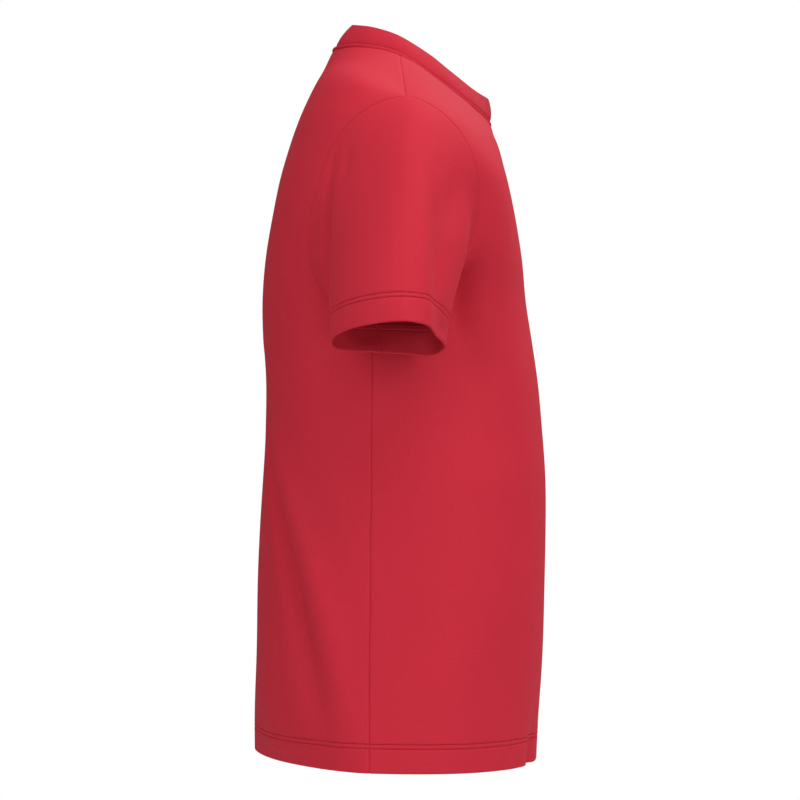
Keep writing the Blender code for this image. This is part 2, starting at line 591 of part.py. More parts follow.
def wall(name, grid, lean, closed, outside, inside, material):
    """A closed wall of cloth: the grid moved out on one side and in on the other, with a rim between."""
    rows, columns = grid.shape[:2]
    outer = (grid + lean * outside[:, None, None]).reshape(-1, 3)
    inner = (grid - lean * inside[:, None, None]).reshape(-1, 3)
    count = rows * columns
    index = np.arange(count).reshape(rows, columns)
    if closed:
        index = np.concatenate([index, index[:, :1]], axis=1)
    faces = []
    for r in range(rows - 1):
        for c in range(index.shape[1] - 1):
            quad = [index[r, c], index[r, c + 1], index[r + 1, c + 1], index[r + 1, c]]
            flat = grid.reshape(-1, 3)[quad]
            if np.linalg.norm(flat[0] - flat[2]) > np.linalg.norm(flat[1] - flat[3]):
                quad = quad[1:] + quad[:1]
            for half in ((quad[0], quad[1], quad[2]), (quad[0], quad[2], quad[3])):
                faces.append(half)
                faces.append(tuple(count + corner for corner in reversed(half)))
    lines = [index[0, ::-1], index[-1]]
    if not closed:
        lines += [index[:, 0], index[::-1, -1]]
    for line in lines:
        for here, there in zip(line[:-1], line[1:]):
            faces.append((here, there, count + there, count + here))
    mesh = bpy.data.meshes.new(name)
    mesh.from_pydata(np.concatenate([outer, inner]).tolist(), [], [tuple(map(int, face)) for face in faces])
    body = bmesh.new()
    body.from_mesh(mesh)
    if body.calc_volume(signed=True) < 0.0:
        bmesh.ops.reverse_faces(body, faces=body.faces)
    body.to_mesh(mesh)
    body.free()
    mesh.shade_smooth()
    mesh.set_sharp_from_angle(angle=math.radians(50.0))
    mesh.materials.append(material)
    piece = bpy.data.objects.new(name, mesh)
    bpy.context.scene.collection.objects.link(piece)
    return piece


def cloth_material(name, colour):
    material = bpy.data.materials.new(name)
    material.use_nodes = True
    shader = material.node_tree.nodes["Principled BSDF"]
    shader.inputs["Base Color"].default_value = colour
    shader.inputs["Roughness"].default_value = ROUGHNESS
    return material


def wall_depths(name, rows):
    """How far a piece's wall reaches out and in from its middle surface, row by row."""
    if name == "neckband":
        return np.full(rows, RIB / 2), np.full(rows, RIB / 2)
    inside = np.full(rows, JERSEY / 2)
    hem = slice(0, len(HEM_ROWS) - 1) if name in ("front", "back") else slice(1 - len(HEM_ROWS), None)
    inside[hem] = HEM_JERSEY - JERSEY / 2
    return np.full(rows, JERSEY / 2), inside


def main():
    for item in list(bpy.data.objects):
        bpy.data.objects.remove(item, do_unlink=True)
    front = panel_grid("front")
    back = panel_grid("back")[:, ::-1]
    grids = {
        "front": (front, False),
        "back": (back, False),
        "sleeve_right": (sleeve_grid(front, back, -1), True),
        "sleeve_left": (sleeve_grid(front, back, 1), True),
        "neckband": (band_grid(front, back), True),
    }
    leans = share_seams(grids)
    for name, (grid, closed) in grids.items():
        outside, inside = wall_depths(name, len(grid))
        colour = RED_RIB if name == "neckband" else RED
        parted = part_seams(grid, leans[name], closed)
        wall(name, parted, leans[name], closed, outside, inside, cloth_material(name + "_cloth", colour))


main()
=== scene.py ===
import math

import bpy
import numpy as np
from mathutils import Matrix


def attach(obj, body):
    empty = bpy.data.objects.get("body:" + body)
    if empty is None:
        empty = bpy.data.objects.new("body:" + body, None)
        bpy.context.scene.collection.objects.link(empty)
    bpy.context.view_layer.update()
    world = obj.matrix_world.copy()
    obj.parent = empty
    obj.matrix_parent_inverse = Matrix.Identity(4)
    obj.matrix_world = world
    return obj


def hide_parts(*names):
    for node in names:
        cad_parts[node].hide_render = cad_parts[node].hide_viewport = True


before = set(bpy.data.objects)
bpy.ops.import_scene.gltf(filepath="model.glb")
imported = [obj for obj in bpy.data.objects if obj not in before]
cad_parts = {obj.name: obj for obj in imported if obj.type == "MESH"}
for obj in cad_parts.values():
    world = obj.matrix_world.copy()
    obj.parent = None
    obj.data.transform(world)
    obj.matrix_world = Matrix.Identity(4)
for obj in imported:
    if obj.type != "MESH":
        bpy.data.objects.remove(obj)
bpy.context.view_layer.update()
print("frame loaded")

# what the whole shirt shares, in metres
shirt = {
    "jersey": 0.0011,                          # one layer of cloth
    "neckPoint": (0.085, 0.0005, 0.0285),      # shoulder seam at the neckband
    "shoulderPoint": (0.2085, -0.0050, -0.0275),
    "underarmZ": -0.2390,
    "samples": 400,                            # points on a curve whose length is measured
    "mergeDistance": 0.000002,                 # less than the gap between any two rows
    "smoothAngle": 60.0,                       # degrees
}
tiny = 1e-12    # keeps divisions away from zero


# curves and grids

def unit(vectors):
    return vectors / np.maximum(np.linalg.norm(vectors, axis=-1, keepdims=True), tiny)


def hermite(start, end, startSlope, endSlope, t):
    return (start * (2 * t**3 - 3 * t**2 + 1) + startSlope * (t**3 - 2 * t**2 + t)
            + end * (3 * t**2 - 2 * t**3) + endSlope * (t**3 - t**2))


def along(knots, values, at, endSlope=None):    # a smooth curve through values, read at each place
    knots = np.asarray(knots, float)
    values = np.asarray(values, float)
    at = np.clip(np.asarray(at, float), knots[0], knots[-1])
    gaps = np.diff(knots).reshape((-1,) + (1,) * (values.ndim - 1))
    chords = np.diff(values, axis=0) / gaps
    slopes = np.concatenate([chords[:1], chords[:1], chords[1:]])
    slopes[1:-1] = (chords[:-1] * gaps[1:] + chords[1:] * gaps[:-1]) / (gaps[:-1] + gaps[1:])
    if endSlope is not None:
        slopes[-1] = endSlope
    index = np.clip(np.searchsorted(knots, at, side="right") - 1, 0, len(knots) - 2)
    gap = np.diff(knots)[index]
    t = (at - knots[index]) / gap
    if values.ndim > 1:
        t = t[..., None]
        gap = gap[..., None]
    column = (np.arange(len(at)),) if values.ndim == 3 else ()    # a loft: each place has its own column
    here = (index,) + column
    there = (index + 1,) + column
    return hermite(values[here], values[there], slopes[here] * gap, slopes[there] * gap, t)


def lengthsOf(line):
    return np.concatenate([[0.0], np.cumsum(np.linalg.norm(np.diff(line, axis=0), axis=-1))])


def atLengths(lengths, values, at):    # what a line has at given lengths
    return np.stack([np.interp(at, lengths, values[:, k]) for k in range(3)], axis=-1)


def stretch(points, first, last, shares):    # part of a smooth line, read by shares of its length
    points = np.asarray(points, float)
    knots = lengthsOf(points)
    fine = np.linspace(knots[first], knots[last], shirt["samples"])
    lengths = lengthsOf(along(knots, points, fine))
    return along(knots, points, np.interp(shares, lengths / lengths[-1], fine))


def mirrored(point):
    return (-point[0],) + tuple(point[1:])


def rowLengths(grid):    # how far each point lies along its row
    steps = np.linalg.norm(np.diff(grid, axis=1), axis=-1)
    return np.concatenate([np.zeros((len(grid), 1)), np.cumsum(steps, axis=1)], axis=1)


def columnLengths(grid):    # and along its column
    return rowLengths(grid.transpose(1, 0, 2)).T


def closedRows(grid):
    return np.concatenate([grid, grid[:, :1]], axis=1)


def girths(grid):
    return np.linalg.norm(np.diff(closedRows(grid), axis=1), axis=-1).sum(axis=1)


def outward(grid, closed):
    padded = np.concatenate([grid[:, -1:], grid, grid[:, :1]], axis=1) if closed else grid
    across = np.gradient(padded, axis=1)
    if closed:
        across = across[:, 1:-1]
    normals = unit(np.cross(across, np.gradient(grid, axis=0)))
    facing = np.sum(normals * (grid - grid.mean(axis=(0, 1))))
    return normals if facing > 0 else -normals


def lineDistance(points, line):    # from each point to the nearest place on a line
    starts = line[:-1]
    steps = np.diff(line, axis=0)
    offset = points[:, None, :] - starts[None]
    share = np.clip(np.sum(offset * steps, -1) / np.maximum(np.sum(steps**2, -1), tiny), 0.0, 1.0)
    return np.linalg.norm(offset - share[..., None] * steps, axis=-1).min(axis=1)


def gaussianLoop(values, lengths, girth, width):    # averages round a loop
    away = np.abs(lengths[:, None] - lengths[None, :])
    away = np.minimum(away, girth - away) / width
    spacing = np.gradient(np.concatenate([lengths[-1:] - girth, lengths, [girth]]))[1:-1]
    weights = np.exp(-away**2 / 2.0) * spacing[None, :]
    return (weights @ values) / weights.sum(axis=1).reshape((-1,) + (1,) * (values.ndim - 1))


def ease(share):    # 0 to 1 with soft ends
    return share**2 * (3.0 - 2.0 * share)


def foldDepth(folds, across, height, width):    # each fold is a row of place, across, depth and half width
    depth = np.zeros(height.shape)
    for fold in folds:
        line = np.array(fold)
        inside = (height >= line[0, 0]) & (height <= line[-1, 0])
        centre, sink, spread = along(line[:, 0], line[:, 1:], height.ravel()).reshape(height.shape + (3,)).T
        away = (across - centre.T) * width / spread.T
        depth += np.where(inside, sink.T * np.exp(-away**2), 0.0)
    return depth


# hems: the cloth is turned up inside and held by two rows of stitches
hem = {
    "depth": 0.0292,
    "turn": 0.0008,                            # radius of the turned edge
    "turnAngles": (0.0, 30.0, 60.0, 90.0),
    # heights of its rows, close together at the stitches
    "rows": (0.0018, 0.0036, 0.0062, 0.0092, 0.0122, 0.0152, 0.0180, 0.0202, 0.0216, 0.0225, 0.0231, 0.0236,
             0.0241, 0.0247, 0.0254, 0.0261, 0.0268, 0.0274, 0.0279, 0.0284, 0.0291, 0.0300, 0.0314, 0.0334),
    "lines": (0.0236, 0.0279),                 # heights of the two rows of stitches
    "sink": 0.0012,                            # how deep the stitches pull the cloth in
    "reach": 0.0007,
    "pucker": 0.00022,                         # slight waves along them
    "puckerPitch": 0.0105,
    "puckerDrift": (1.7, 0.23),                # how much the pitch wanders, and how slowly
    "puckerReach": 0.0070,                     # how far above and below them those reach
    "insideShare": 0.30,                       # how much of a dip shows in the layer inside, outwards
}


def hemHeights():    # heights of the outer rows of a hem, and how far each has turned
    angles = np.radians(hem["turnAngles"])
    heights = np.concatenate([hem["turn"] * (1.0 - np.cos(angles)), hem["rows"]])
    turned = np.concatenate([angles, np.full(len(hem["rows"]), math.pi / 2)])
    return heights, turned


def hemDip(height, lengthwise):    # what the two rows of stitches do to the cloth
    dip = np.zeros(np.broadcast(height, lengthwise).shape)
    for line in hem["lines"]:
        dip = dip + hem["sink"] * np.exp(-((height - line) / hem["reach"]) ** 2)
    middle = sum(hem["lines"]) / 2
    near = np.exp(-((height - middle) / hem["puckerReach"]) ** 2)
    turns = lengthwise / hem["puckerPitch"] * 2.0 * math.pi
    wander, slowness = hem["puckerDrift"]
    return dip + hem["pucker"] * near * np.sin(turns + wander * np.sin(turns * slowness))


def turnedUp(cloth):    # adds the layer inside a hem, which is a panel's first rows and a sleeve's last
    heights, turned = hemHeights()
    way = -1 if cloth.closed else 1
    outside, inside, up = cloth.outside[::way], cloth.inside[::way], cloth.up[::way]
    angles = np.full(len(outside), math.pi / 2)
    angles[:len(turned)] = turned
    bend = np.sin(angles)[:, None, None]
    outer = outside + up * (hem["turn"] * (bend - 1.0))
    inner = inside - up * (hem["turn"] * (bend + 1.0))
    count = int(np.sum(heights <= hem["depth"]))
    return np.concatenate([inner[1:count][::-1], outer])


# the neckline and its band
neck = {
    # x, y, z of half the neckline, from the middle of the back
    "line": (
        (0.0, 0.0660, 0.0410),
        (0.041, 0.0585, 0.0405),
        (0.069, 0.0350, 0.0380),
        (0.085, 0.0005, 0.0285),
        (0.0885, -0.0255, 0.0117),
        (0.077, -0.0560, -0.0090),
        (0.048, -0.0815, -0.0268),
        (0.0, -0.0928, -0.0345),
    ),
    # the band's top edge: share of the neckline, x, y, z
    "bandTop": (
        (0.00, 0.0, 0.0495, 0.0648),
        (0.16, 0.0350, 0.0430, 0.0615),
        (0.30, 0.0570, 0.0245, 0.0565),
        (0.43, 0.0695, 0.0000, 0.0468),
        (0.55, 0.0720, -0.0265, 0.0305),
        (0.72, 0.0630, -0.0500, 0.0130),
        (0.86, 0.0400, -0.0750, -0.0048),
        (1.00, 0.0, -0.0908, -0.0110),
    ),
    "crown": 0.0015,                           # how far the band bulges outwards
    "bandSteps": (0.0, 0.012, 0.024, 0.045, 0.08, 0.12, 0.19, 0.28, 0.38, 0.48, 0.58, 0.68, 0.78, 0.86, 0.92,
                  0.96, 0.98, 1.0),
    "bandTurn": 0.00062,                       # half the distance between its two layers
    "bandTurnAngles": (30.0, 60.0, 90.0, 120.0, 150.0),    # rows of that turn
    "rib": 0.0010,                             # one layer of the band
    "groove": 0.0022,                          # how deep the neck seam lies
    "grooveReach": 0.0008,
    "ridge": (0.0009, 0.0018),                 # the seam's allowance lifts the body cloth below the band
    "ridgePlaces": (-0.030, 0.020),            # y where that height starts and ends its change
    "ridgeStart": 0.0008,
    "ridgeEnd": 0.0038,
    "ridgeSoft": 0.00025,
    "farthest": 0.05,                          # distances from the seam count up to here
    "stitchLine": 0.0046,
    "stitchSink": 0.0020,
    "stitchReach": 0.0007,
    "clearReach": 0.0020,                      # length over which the shoulder seam comes out from under it
    "bandSink": 0.0020,                        # the band's lower edge lies inside that ridge
    "bandReach": 0.0022,
    "cut": (0.48, 0.052),
}


def halfNeckline(panel, shares):
    line = neck["line"]
    points = [mirrored(line[1])] + list(line) + [mirrored(line[-2])]
    point = points.index(shirt["neckPoint"])
    if panel == "back":
        return stretch(points, 1, point, shares)
    return stretch(points, point, len(points) - 2, 1.0 - shares)


def bandRows(front, back):    # the band's middle surface: rows from the neck seam up, all round
    steps = trunk["neckSteps"]
    middle = front.shape[1] // 2
    backNeck, frontNeck = (panel[-1, middle - steps:middle + steps + 1] for panel in (back, front))
    half = np.concatenate([backNeck[steps:], frontNeck[1:steps + 1]])
    neckSeam = np.concatenate([half, frontNeck[steps + 1:], backNeck[1:steps]])
    lengths = lengthsOf(half)
    table = np.array(neck["bandTop"])
    before = table[1] * (-1, -1, 1, 1)
    after = (2.0 - table[-2, 0], -table[-2, 1], table[-2, 2], table[-2, 3])
    table = np.vstack([before, table, after])
    top = along(table[:, 0], table[:, 1:], lengths / lengths[-1])
    top = np.concatenate([top * (-1.0, 1.0, 1.0), top[-2:0:-1]])
    up = np.array(neck["bandSteps"])[:, None, None]
    grid = neckSeam * (1.0 - up) + top * up
    return grid + outward(grid, True) * neck["crown"] * np.sin(math.pi * up)


def foldedBand(middle, normals):    # both layers of the band, joined by the turn at its top
    turn = neck["bandTurn"]
    layers = [middle + normals * turn]
    upward = unit(middle[-1] - middle[-2])
    for angle in np.radians(neck["bandTurnAngles"]):
        ring = middle[-1] + normals[-1] * turn * math.cos(angle) + upward * turn * math.sin(angle)
        layers.append(ring[None])
    layers.append((middle - normals * turn)[::-1])
    return np.concatenate(layers)


# the trunk: a front and a back panel
trunk = {
    # height, front, back, half width, side, squareness in front, squareness behind
    "rings": (
        (-0.6832, -0.1405, 0.1482, 0.194, 0.030, 2.20, 1.70),
        (-0.6400, -0.1419, 0.1488, 0.193, 0.030, 2.25, 2.00),
        (-0.5800, -0.1454, 0.1478, 0.190, 0.030, 2.30, 2.15),
        (-0.5200, -0.1481, 0.1460, 0.187, 0.029, 2.35, 2.25),
        (-0.4600, -0.1495, 0.1426, 0.184, 0.029, 2.35, 2.30),
        (-0.4000, -0.1485, 0.1399, 0.181, 0.028, 2.40, 2.40),
        (-0.3500, -0.1448, 0.1380, 0.180, 0.028, 2.40, 2.40),
        (-0.3000, -0.1405, 0.1370, 0.181, 0.027, 2.45, 2.45),
        (-0.2600, -0.1350, 0.1389, 0.183, 0.027, 2.50, 2.50),
        (-0.2200, -0.1288, 0.1396, 0.187, 0.025, 2.65, 2.65),
        (-0.1750, -0.1243, 0.1366, 0.197, 0.019, 2.85, 2.85),
        (-0.1300, -0.1158, 0.1290, 0.208, 0.010, 3.10, 3.10),
    ),
    "hemTilt": 0.0300,                         # how much the hem rises for each metre towards the back
    "hemTiltReach": 0.30,                      # height over which that fades out
    # middle y and z, side x, y and z, squareness
    "yokes": {
        "front": ((-0.1055, -0.0900, 0.216, 0.001, -0.080, 3.30),
                  (-0.0985, -0.0580, 0.2165, -0.006, -0.048, 2.35)),
        "back": ((0.1182, -0.0820, 0.212, 0.002, -0.082, 3.00),
                 (0.0965, -0.0210, 0.215, -0.002, -0.050, 2.80),
                 (0.0795, 0.0130, 0.2125, -0.0035, -0.038, 2.20)),
    },
    # y and z of the armhole seam, from the underarm by the front to the shoulder and back
    "armhole": (
        (0.0260, -0.2390), (-0.0120, -0.2310), (-0.0440, -0.2060), (-0.0660, -0.1720),
        (-0.0755, -0.1380), (-0.0765, -0.1130), (-0.0660, -0.0740), (-0.0416, -0.0440),
        (-0.0050, -0.0275), (0.0184, -0.0324), (0.0562, -0.0605), (0.0784, -0.1060),
        (0.0885, -0.1650), (0.0862, -0.1936), (0.0700, -0.2200), (0.0500, -0.2335),
    ),
    "armholeTop": 8,                           # which of them is the shoulder
    # how that seam is found on a panel's form
    "search": {
        "rounds": 80,
        "bulge": 0.35,                         # first guess of how far in the seam runs
        "inmost": 0.2,
        "step": 1e-5,
        "leastArea": 1e-4,
        "farthest": (0.05, 0.02),              # longest step across and up
    },
    "evenWidth": 0.010,                        # length over which the armhole's edge is evened out
    "evenRise": 0.15,                          # share of its length over which that starts
    "evenFrom": 0.72,                          # share of a panel's half from which it grows to the edge
    # the way a panel runs at its top edge: middle, neck point, shoulder
    "topRuns": {
        "front": ((0.0, 0.25, 0.97), (-0.55, 0.78, 0.47), (0.0, 1.0, 0.0)),
        "back": ((0.0, -0.50, 0.86), (-0.55, -0.74, 0.0), (0.0, -1.0, 0.0)),
    },
    "neckSteps": 28,                           # columns from a panel's middle to the neck point
    "shoulderSteps": 38,                       # and on to its side
    # extra columns beside the neck point, as shares
    "besideNeck": (0.0025, 0.0050, 0.0075, 0.0100, 0.0125, 0.0150, 0.0175, 0.0205, 0.0240),
    "neckShare": 0.42,                         # share of a panel's half that ends in the neckline
    "neckRows": 34,                            # a panel's rows that come near the neck seam
    "trunkSteps": 98,                          # rows from the hem to the underarm
    "armholeSteps": 60,                        # and on to the shoulder
    "edgeShares": (0.0026, 0.0052, 0.0089, 0.0140, 0.0200),    # extra columns and rows beside a seam
    # extra rows below the shoulder seam, and the least share between extra and even ones
    "topShares": (0.0012, 0.0025, 0.0038, 0.0052, 0.0068, 0.0085, 0.0100, 0.0115, 0.0128, 0.0140, 0.0152,
                  0.0165, 0.0185, 0.0215, 0.0260),
    "spareShare": 0.006,
    "dip": 0.060,                              # how much lower the underarm's row runs in the middle
    "dipStart": 0.55,                          # share from which rows climb to the side
    "foldSpan": 0.28,                          # a half's width, for the widths of its folds
    "foldEdge": 0.90,                          # share from which folds fade out to the side
    "formRows": 21,                            # places at which the distance between yokes is measured
    # flat width and length of what shows, and its area
    "cut": {"front": ((0.598, 0.735), 0.385), "back": ((0.522, 0.765), 0.370)},
    # folds by panel and side: height, across, depth, half width
    "folds": {
        ("back", -1): (
            ((-0.670, 0.81, 0.0, 0.024), (-0.606, 0.765, 0.0062, 0.021), (-0.556, 0.705, 0.0104, 0.019),
             (-0.515, 0.650, 0.0130, 0.017), (-0.470, 0.580, 0.0125, 0.017), (-0.418, 0.470, 0.0092, 0.019),
             (-0.371, 0.335, 0.0055, 0.020), (-0.305, 0.180, 0.0020, 0.020), (-0.260, 0.10, 0.0, 0.020)),
            ((-0.680, 0.900, 0.0, 0.020), (-0.606, 0.865, -0.0028, 0.020), (-0.556, 0.825, -0.0050, 0.020),
             (-0.515, 0.785, -0.0062, 0.019), (-0.470, 0.725, -0.0066, 0.019),
             (-0.418, 0.620, -0.0055, 0.020), (-0.371, 0.500, -0.0030, 0.022), (-0.320, 0.40, 0.0, 0.024)),
            ((-0.670, 0.50, -0.0010, 0.036), (-0.560, 0.36, -0.0020, 0.034), (-0.450, 0.20, -0.0010, 0.032),
             (-0.360, 0.10, 0.0, 0.030)),
            ((-0.230, 0.88, 0.0, 0.014), (-0.195, 0.84, 0.0022, 0.015), (-0.150, 0.78, 0.0026, 0.018),
             (-0.100, 0.70, 0.0, 0.020)),
        ),
        ("back", 1): (
            ((-0.660, 0.80, 0.0, 0.024), (-0.610, 0.76, 0.0050, 0.022), (-0.555, 0.695, 0.0080, 0.019),
             (-0.500, 0.620, 0.0092, 0.018), (-0.440, 0.510, 0.0080, 0.019), (-0.385, 0.375, 0.0045, 0.020),
             (-0.320, 0.215, 0.0, 0.020)),
            ((-0.670, 0.890, 0.0, 0.022), (-0.600, 0.855, -0.0028, 0.022), (-0.540, 0.805, -0.0050, 0.020),
             (-0.475, 0.715, -0.0054, 0.020), (-0.415, 0.590, -0.0036, 0.022), (-0.350, 0.46, 0.0, 0.024)),
            ((-0.660, 0.48, -0.0008, 0.036), (-0.570, 0.36, -0.0018, 0.034), (-0.460, 0.20, -0.0010, 0.032),
             (-0.370, 0.10, 0.0, 0.030)),
            ((-0.225, 0.87, 0.0, 0.014), (-0.185, 0.83, 0.0024, 0.016), (-0.140, 0.76, 0.0022, 0.018),
             (-0.090, 0.69, 0.0, 0.020)),
        ),
        ("front", -1): (
            ((-0.400, 0.60, 0.0, 0.036), (-0.340, 0.62, 0.0078, 0.036), (-0.285, 0.645, 0.0148, 0.034),
             (-0.240, 0.670, 0.0190, 0.031), (-0.200, 0.695, 0.0180, 0.028), (-0.165, 0.750, 0.0095, 0.022),
             (-0.125, 0.84, 0.0, 0.016)),
            ((-0.275, 0.675, 0.0, 0.014), (-0.240, 0.672, 0.0035, 0.013), (-0.205, 0.680, 0.0050, 0.013),
             (-0.175, 0.720, 0.0030, 0.013), (-0.150, 0.76, 0.0, 0.013)),
            ((-0.215, 0.56, 0.0, 0.034), (-0.165, 0.54, -0.0030, 0.036), (-0.120, 0.54, -0.0038, 0.038),
             (-0.070, 0.50, 0.0, 0.036)),
            ((-0.690, 0.235, 0.0080, 0.012), (-0.672, 0.230, 0.0060, 0.013), (-0.645, 0.22, 0.0020, 0.016),
             (-0.600, 0.20, 0.0, 0.018)),
            ((-0.640, 0.72, 0.0, 0.020), (-0.590, 0.70, -0.0016, 0.022), (-0.540, 0.71, 0.0, 0.020)),
            ((-0.400, 0.66, 0.0, 0.020), (-0.350, 0.60, -0.0014, 0.024), (-0.290, 0.50, 0.0, 0.022)),
            ((-0.690, 0.52, 0.0008, 0.020), (-0.610, 0.50, 0.0018, 0.020), (-0.520, 0.46, 0.0012, 0.022),
             (-0.430, 0.44, 0.0, 0.024)),
        ),
        ("front", 1): (
            ((-0.405, 0.59, 0.0, 0.036), (-0.345, 0.61, 0.0070, 0.036), (-0.290, 0.635, 0.0132, 0.034),
             (-0.245, 0.665, 0.0172, 0.032), (-0.205, 0.700, 0.0165, 0.028), (-0.170, 0.755, 0.0085, 0.022),
             (-0.130, 0.84, 0.0, 0.016)),
            ((-0.270, 0.680, 0.0, 0.014), (-0.235, 0.678, 0.0030, 0.013), (-0.200, 0.690, 0.0045, 0.013),
             (-0.170, 0.730, 0.0025, 0.013), (-0.150, 0.77, 0.0, 0.013)),
            ((-0.220, 0.55, 0.0, 0.034), (-0.170, 0.53, -0.0026, 0.036), (-0.125, 0.52, -0.0034, 0.038),
             (-0.075, 0.48, 0.0, 0.036)),
            ((-0.690, 0.36, 0.0038, 0.014), (-0.640, 0.33, 0.0024, 0.016), (-0.580, 0.30, 0.0, 0.018)),
            ((-0.620, 0.66, 0.0, 0.022), (-0.560, 0.68, -0.0018, 0.022), (-0.500, 0.66, 0.0, 0.022)),
            ((-0.690, 0.60, 0.0010, 0.020), (-0.600, 0.57, 0.0020, 0.020), (-0.500, 0.52, 0.0, 0.024)),
        ),
    },
}


def armholeSeam(panel, shares):
    line = list(trunk["armhole"])
    points = [line[-1]] + line + line[:2]
    top = 1 + trunk["armholeTop"]
    if panel == "front":
        return stretch(points, 1, top, shares)
    return stretch(points, top, len(points) - 2, 1.0 - shares)


def topEdge(panel, across):
    share = trunk["neckShare"]
    shoulder = np.clip((across - share) / (1.0 - share), 0.0, 1.0)[:, None]
    neckPoint, shoulderPoint = np.array(shirt["neckPoint"]), np.array(shirt["shoulderPoint"])
    shoulderSeam = neckPoint * (1.0 - shoulder) + shoulderPoint * shoulder
    line = halfNeckline(panel, np.clip(across / share, 0.0, 1.0))
    return np.where(across[:, None] < share - tiny, line, shoulderSeam)


def formRow(middle, side, squareness, across):    # a quarter of a squared-off ellipse, read by its length
    angles = math.pi / 2 * np.sin(np.linspace(0.0, math.pi / 2, shirt["samples"])) ** 2
    out = np.sin(angles) ** (2.0 / squareness)
    deep = np.abs(np.cos(angles)) ** (2.0 / squareness)
    deep[-1] = 0.0
    lengths = lengthsOf(np.stack([out * side[0], deep * (middle[0] - side[1])], axis=-1))
    shares = lengths / lengths[-1]
    out = np.interp(across, shares, out)
    deep = np.interp(across, shares, deep)
    y = side[1] + (middle[0] - side[1]) * deep
    z = side[2] + (middle[1] - side[2]) * deep
    return np.stack([side[0] * out, y, z], axis=-1)


class PanelForm:    # the smooth form under a panel, lofted through its rings and yokes
    def __init__(self, panel):
        self.panel = panel
        self.rows = []
        self.levels = []
        bottom = trunk["rings"][0][0]
        for height, front, back, halfWidth, side, frontSquare, backSquare in trunk["rings"]:
            tilt = trunk["hemTilt"] * max(0.0, 1.0 - (height - bottom) / trunk["hemTiltReach"])
            middleY, square = (front, frontSquare) if panel == "front" else (back, backSquare)
            middle = (middleY, height + tilt * middleY)
            self.rows.append((middle, (halfWidth, side, height + tilt * side), square))
            self.levels.append(height)
        for middleY, middleZ, sideX, sideY, sideZ, square in trunk["yokes"][panel]:
            self.rows.append(((middleY, middleZ), (sideX, sideY, sideZ), square))
        lofted = self.loft(np.linspace(0.0, 1.0, trunk["formRows"]))
        count = len(trunk["rings"])
        for below, above in zip(lofted[count - 1:-1], lofted[count:]):
            self.levels.append(self.levels[-1] + np.linalg.norm(above - below, axis=-1).mean())
        self.top = self.levels[-1]

    def loft(self, across):
        rows = [formRow(middle, side, square, across) for middle, side, square in self.rows]
        return np.array(rows + [topEdge(self.panel, across)])

    def points(self, across, level):
        rows = self.loft(across)
        runs = np.array(trunk["topRuns"][self.panel])
        run = np.stack([np.interp(across, (0.0, trunk["neckShare"], 1.0), runs[:, k]) for k in range(3)], -1)
        last = (rows[-1] - rows[-2]) / (self.levels[-1] - self.levels[-2])
        speed = np.linalg.norm(last, axis=-1, keepdims=True)
        return along(self.levels, rows, level, endSlope=unit(run) * speed)

    def find(self, targets):    # where the form has the given y and z
        search = trunk["search"]
        t = np.linspace(0.0, 1.0, len(targets))
        across = 1.0 - search["bulge"] * np.sin(math.pi * t)
        level = shirt["underarmZ"] + (self.top - shirt["underarmZ"]) * t
        step = search["step"]
        acrossMost, levelMost = search["farthest"]
        for _ in range(search["rounds"]):
            here = self.points(across, level)[:, 1:]
            miss = targets - here
            byAcross = (here - self.points(across - step, level)[:, 1:]) / step
            byLevel = (here - self.points(across, level - step)[:, 1:]) / step
            area = byAcross[:, 0] * byLevel[:, 1] - byAcross[:, 1] * byLevel[:, 0]
            area = np.where(np.abs(area) < search["leastArea"], search["leastArea"], area)
            acrossStep = (miss[:, 0] * byLevel[:, 1] - miss[:, 1] * byLevel[:, 0]) / area
            levelStep = (byAcross[:, 0] * miss[:, 1] - byAcross[:, 1] * miss[:, 0]) / area
            across = across + np.clip(acrossStep, -acrossMost, acrossMost)
            across = np.clip(across, search["inmost"], 1.0)
            level = level + np.clip(levelStep, -levelMost, levelMost)
            level = np.clip(level, trunk["rings"][0][0], self.top)
        return across, level


def climbShares():    # where the rows beside an armhole lie, from the underarm to the shoulder
    even = np.linspace(0.0, 1.0, trunk["armholeSteps"] + 1)
    low = np.array(trunk["edgeShares"])
    high = 1.0 - np.array(trunk["topShares"])
    even = even[(even > low[-1] + trunk["spareShare"]) & (even < high.min() - trunk["spareShare"])]
    return np.concatenate([[0.0], low, even, high[::-1], [1.0]])


def halfColumns():    # where the columns lie, from a panel's middle to its side
    share = trunk["neckShare"]
    neckPart = share * np.arange(trunk["neckSteps"]) / trunk["neckSteps"]
    near = share + np.array((0.0,) + trunk["besideNeck"])
    shoulder = share + (1.0 - share) * np.arange(trunk["shoulderSteps"] + 1) / trunk["shoulderSteps"]
    edge = 1.0 - np.array(trunk["edgeShares"])
    spare = trunk["spareShare"]
    shoulder = shoulder[(shoulder > near[-1] + spare) & (shoulder < edge.min() - spare)]
    return np.concatenate([neckPart, near, shoulder, edge[::-1], [1.0]])


def panelRows(form):    # each row's level in the middle and at the side, and how far out it goes
    bottom = trunk["rings"][0][0]
    heights, _ = hemHeights()
    start = heights[-1]
    rise = shirt["underarmZ"] - bottom
    count = trunk["trunkSteps"]
    heights = np.concatenate([heights, start + (rise - start) * np.arange(1, count + 1) / count])
    dipped = start + (heights - start) * (rise - trunk["dip"] - start) / (rise - start)
    middle = np.where(heights > start, dipped, heights) + bottom
    climb = climbShares()
    reach, side = form.find(armholeSeam(form.panel, climb))
    reach[[0, -1]] = 1.0
    side[[0, -1]] = (shirt["underarmZ"], form.top)
    upper = middle[-1] + (form.top - middle[-1]) * climb[1:]
    return (np.concatenate([middle, upper]), np.concatenate([bottom + heights, side[1:]]),
            np.concatenate([np.ones(len(heights)), reach[1:]]))


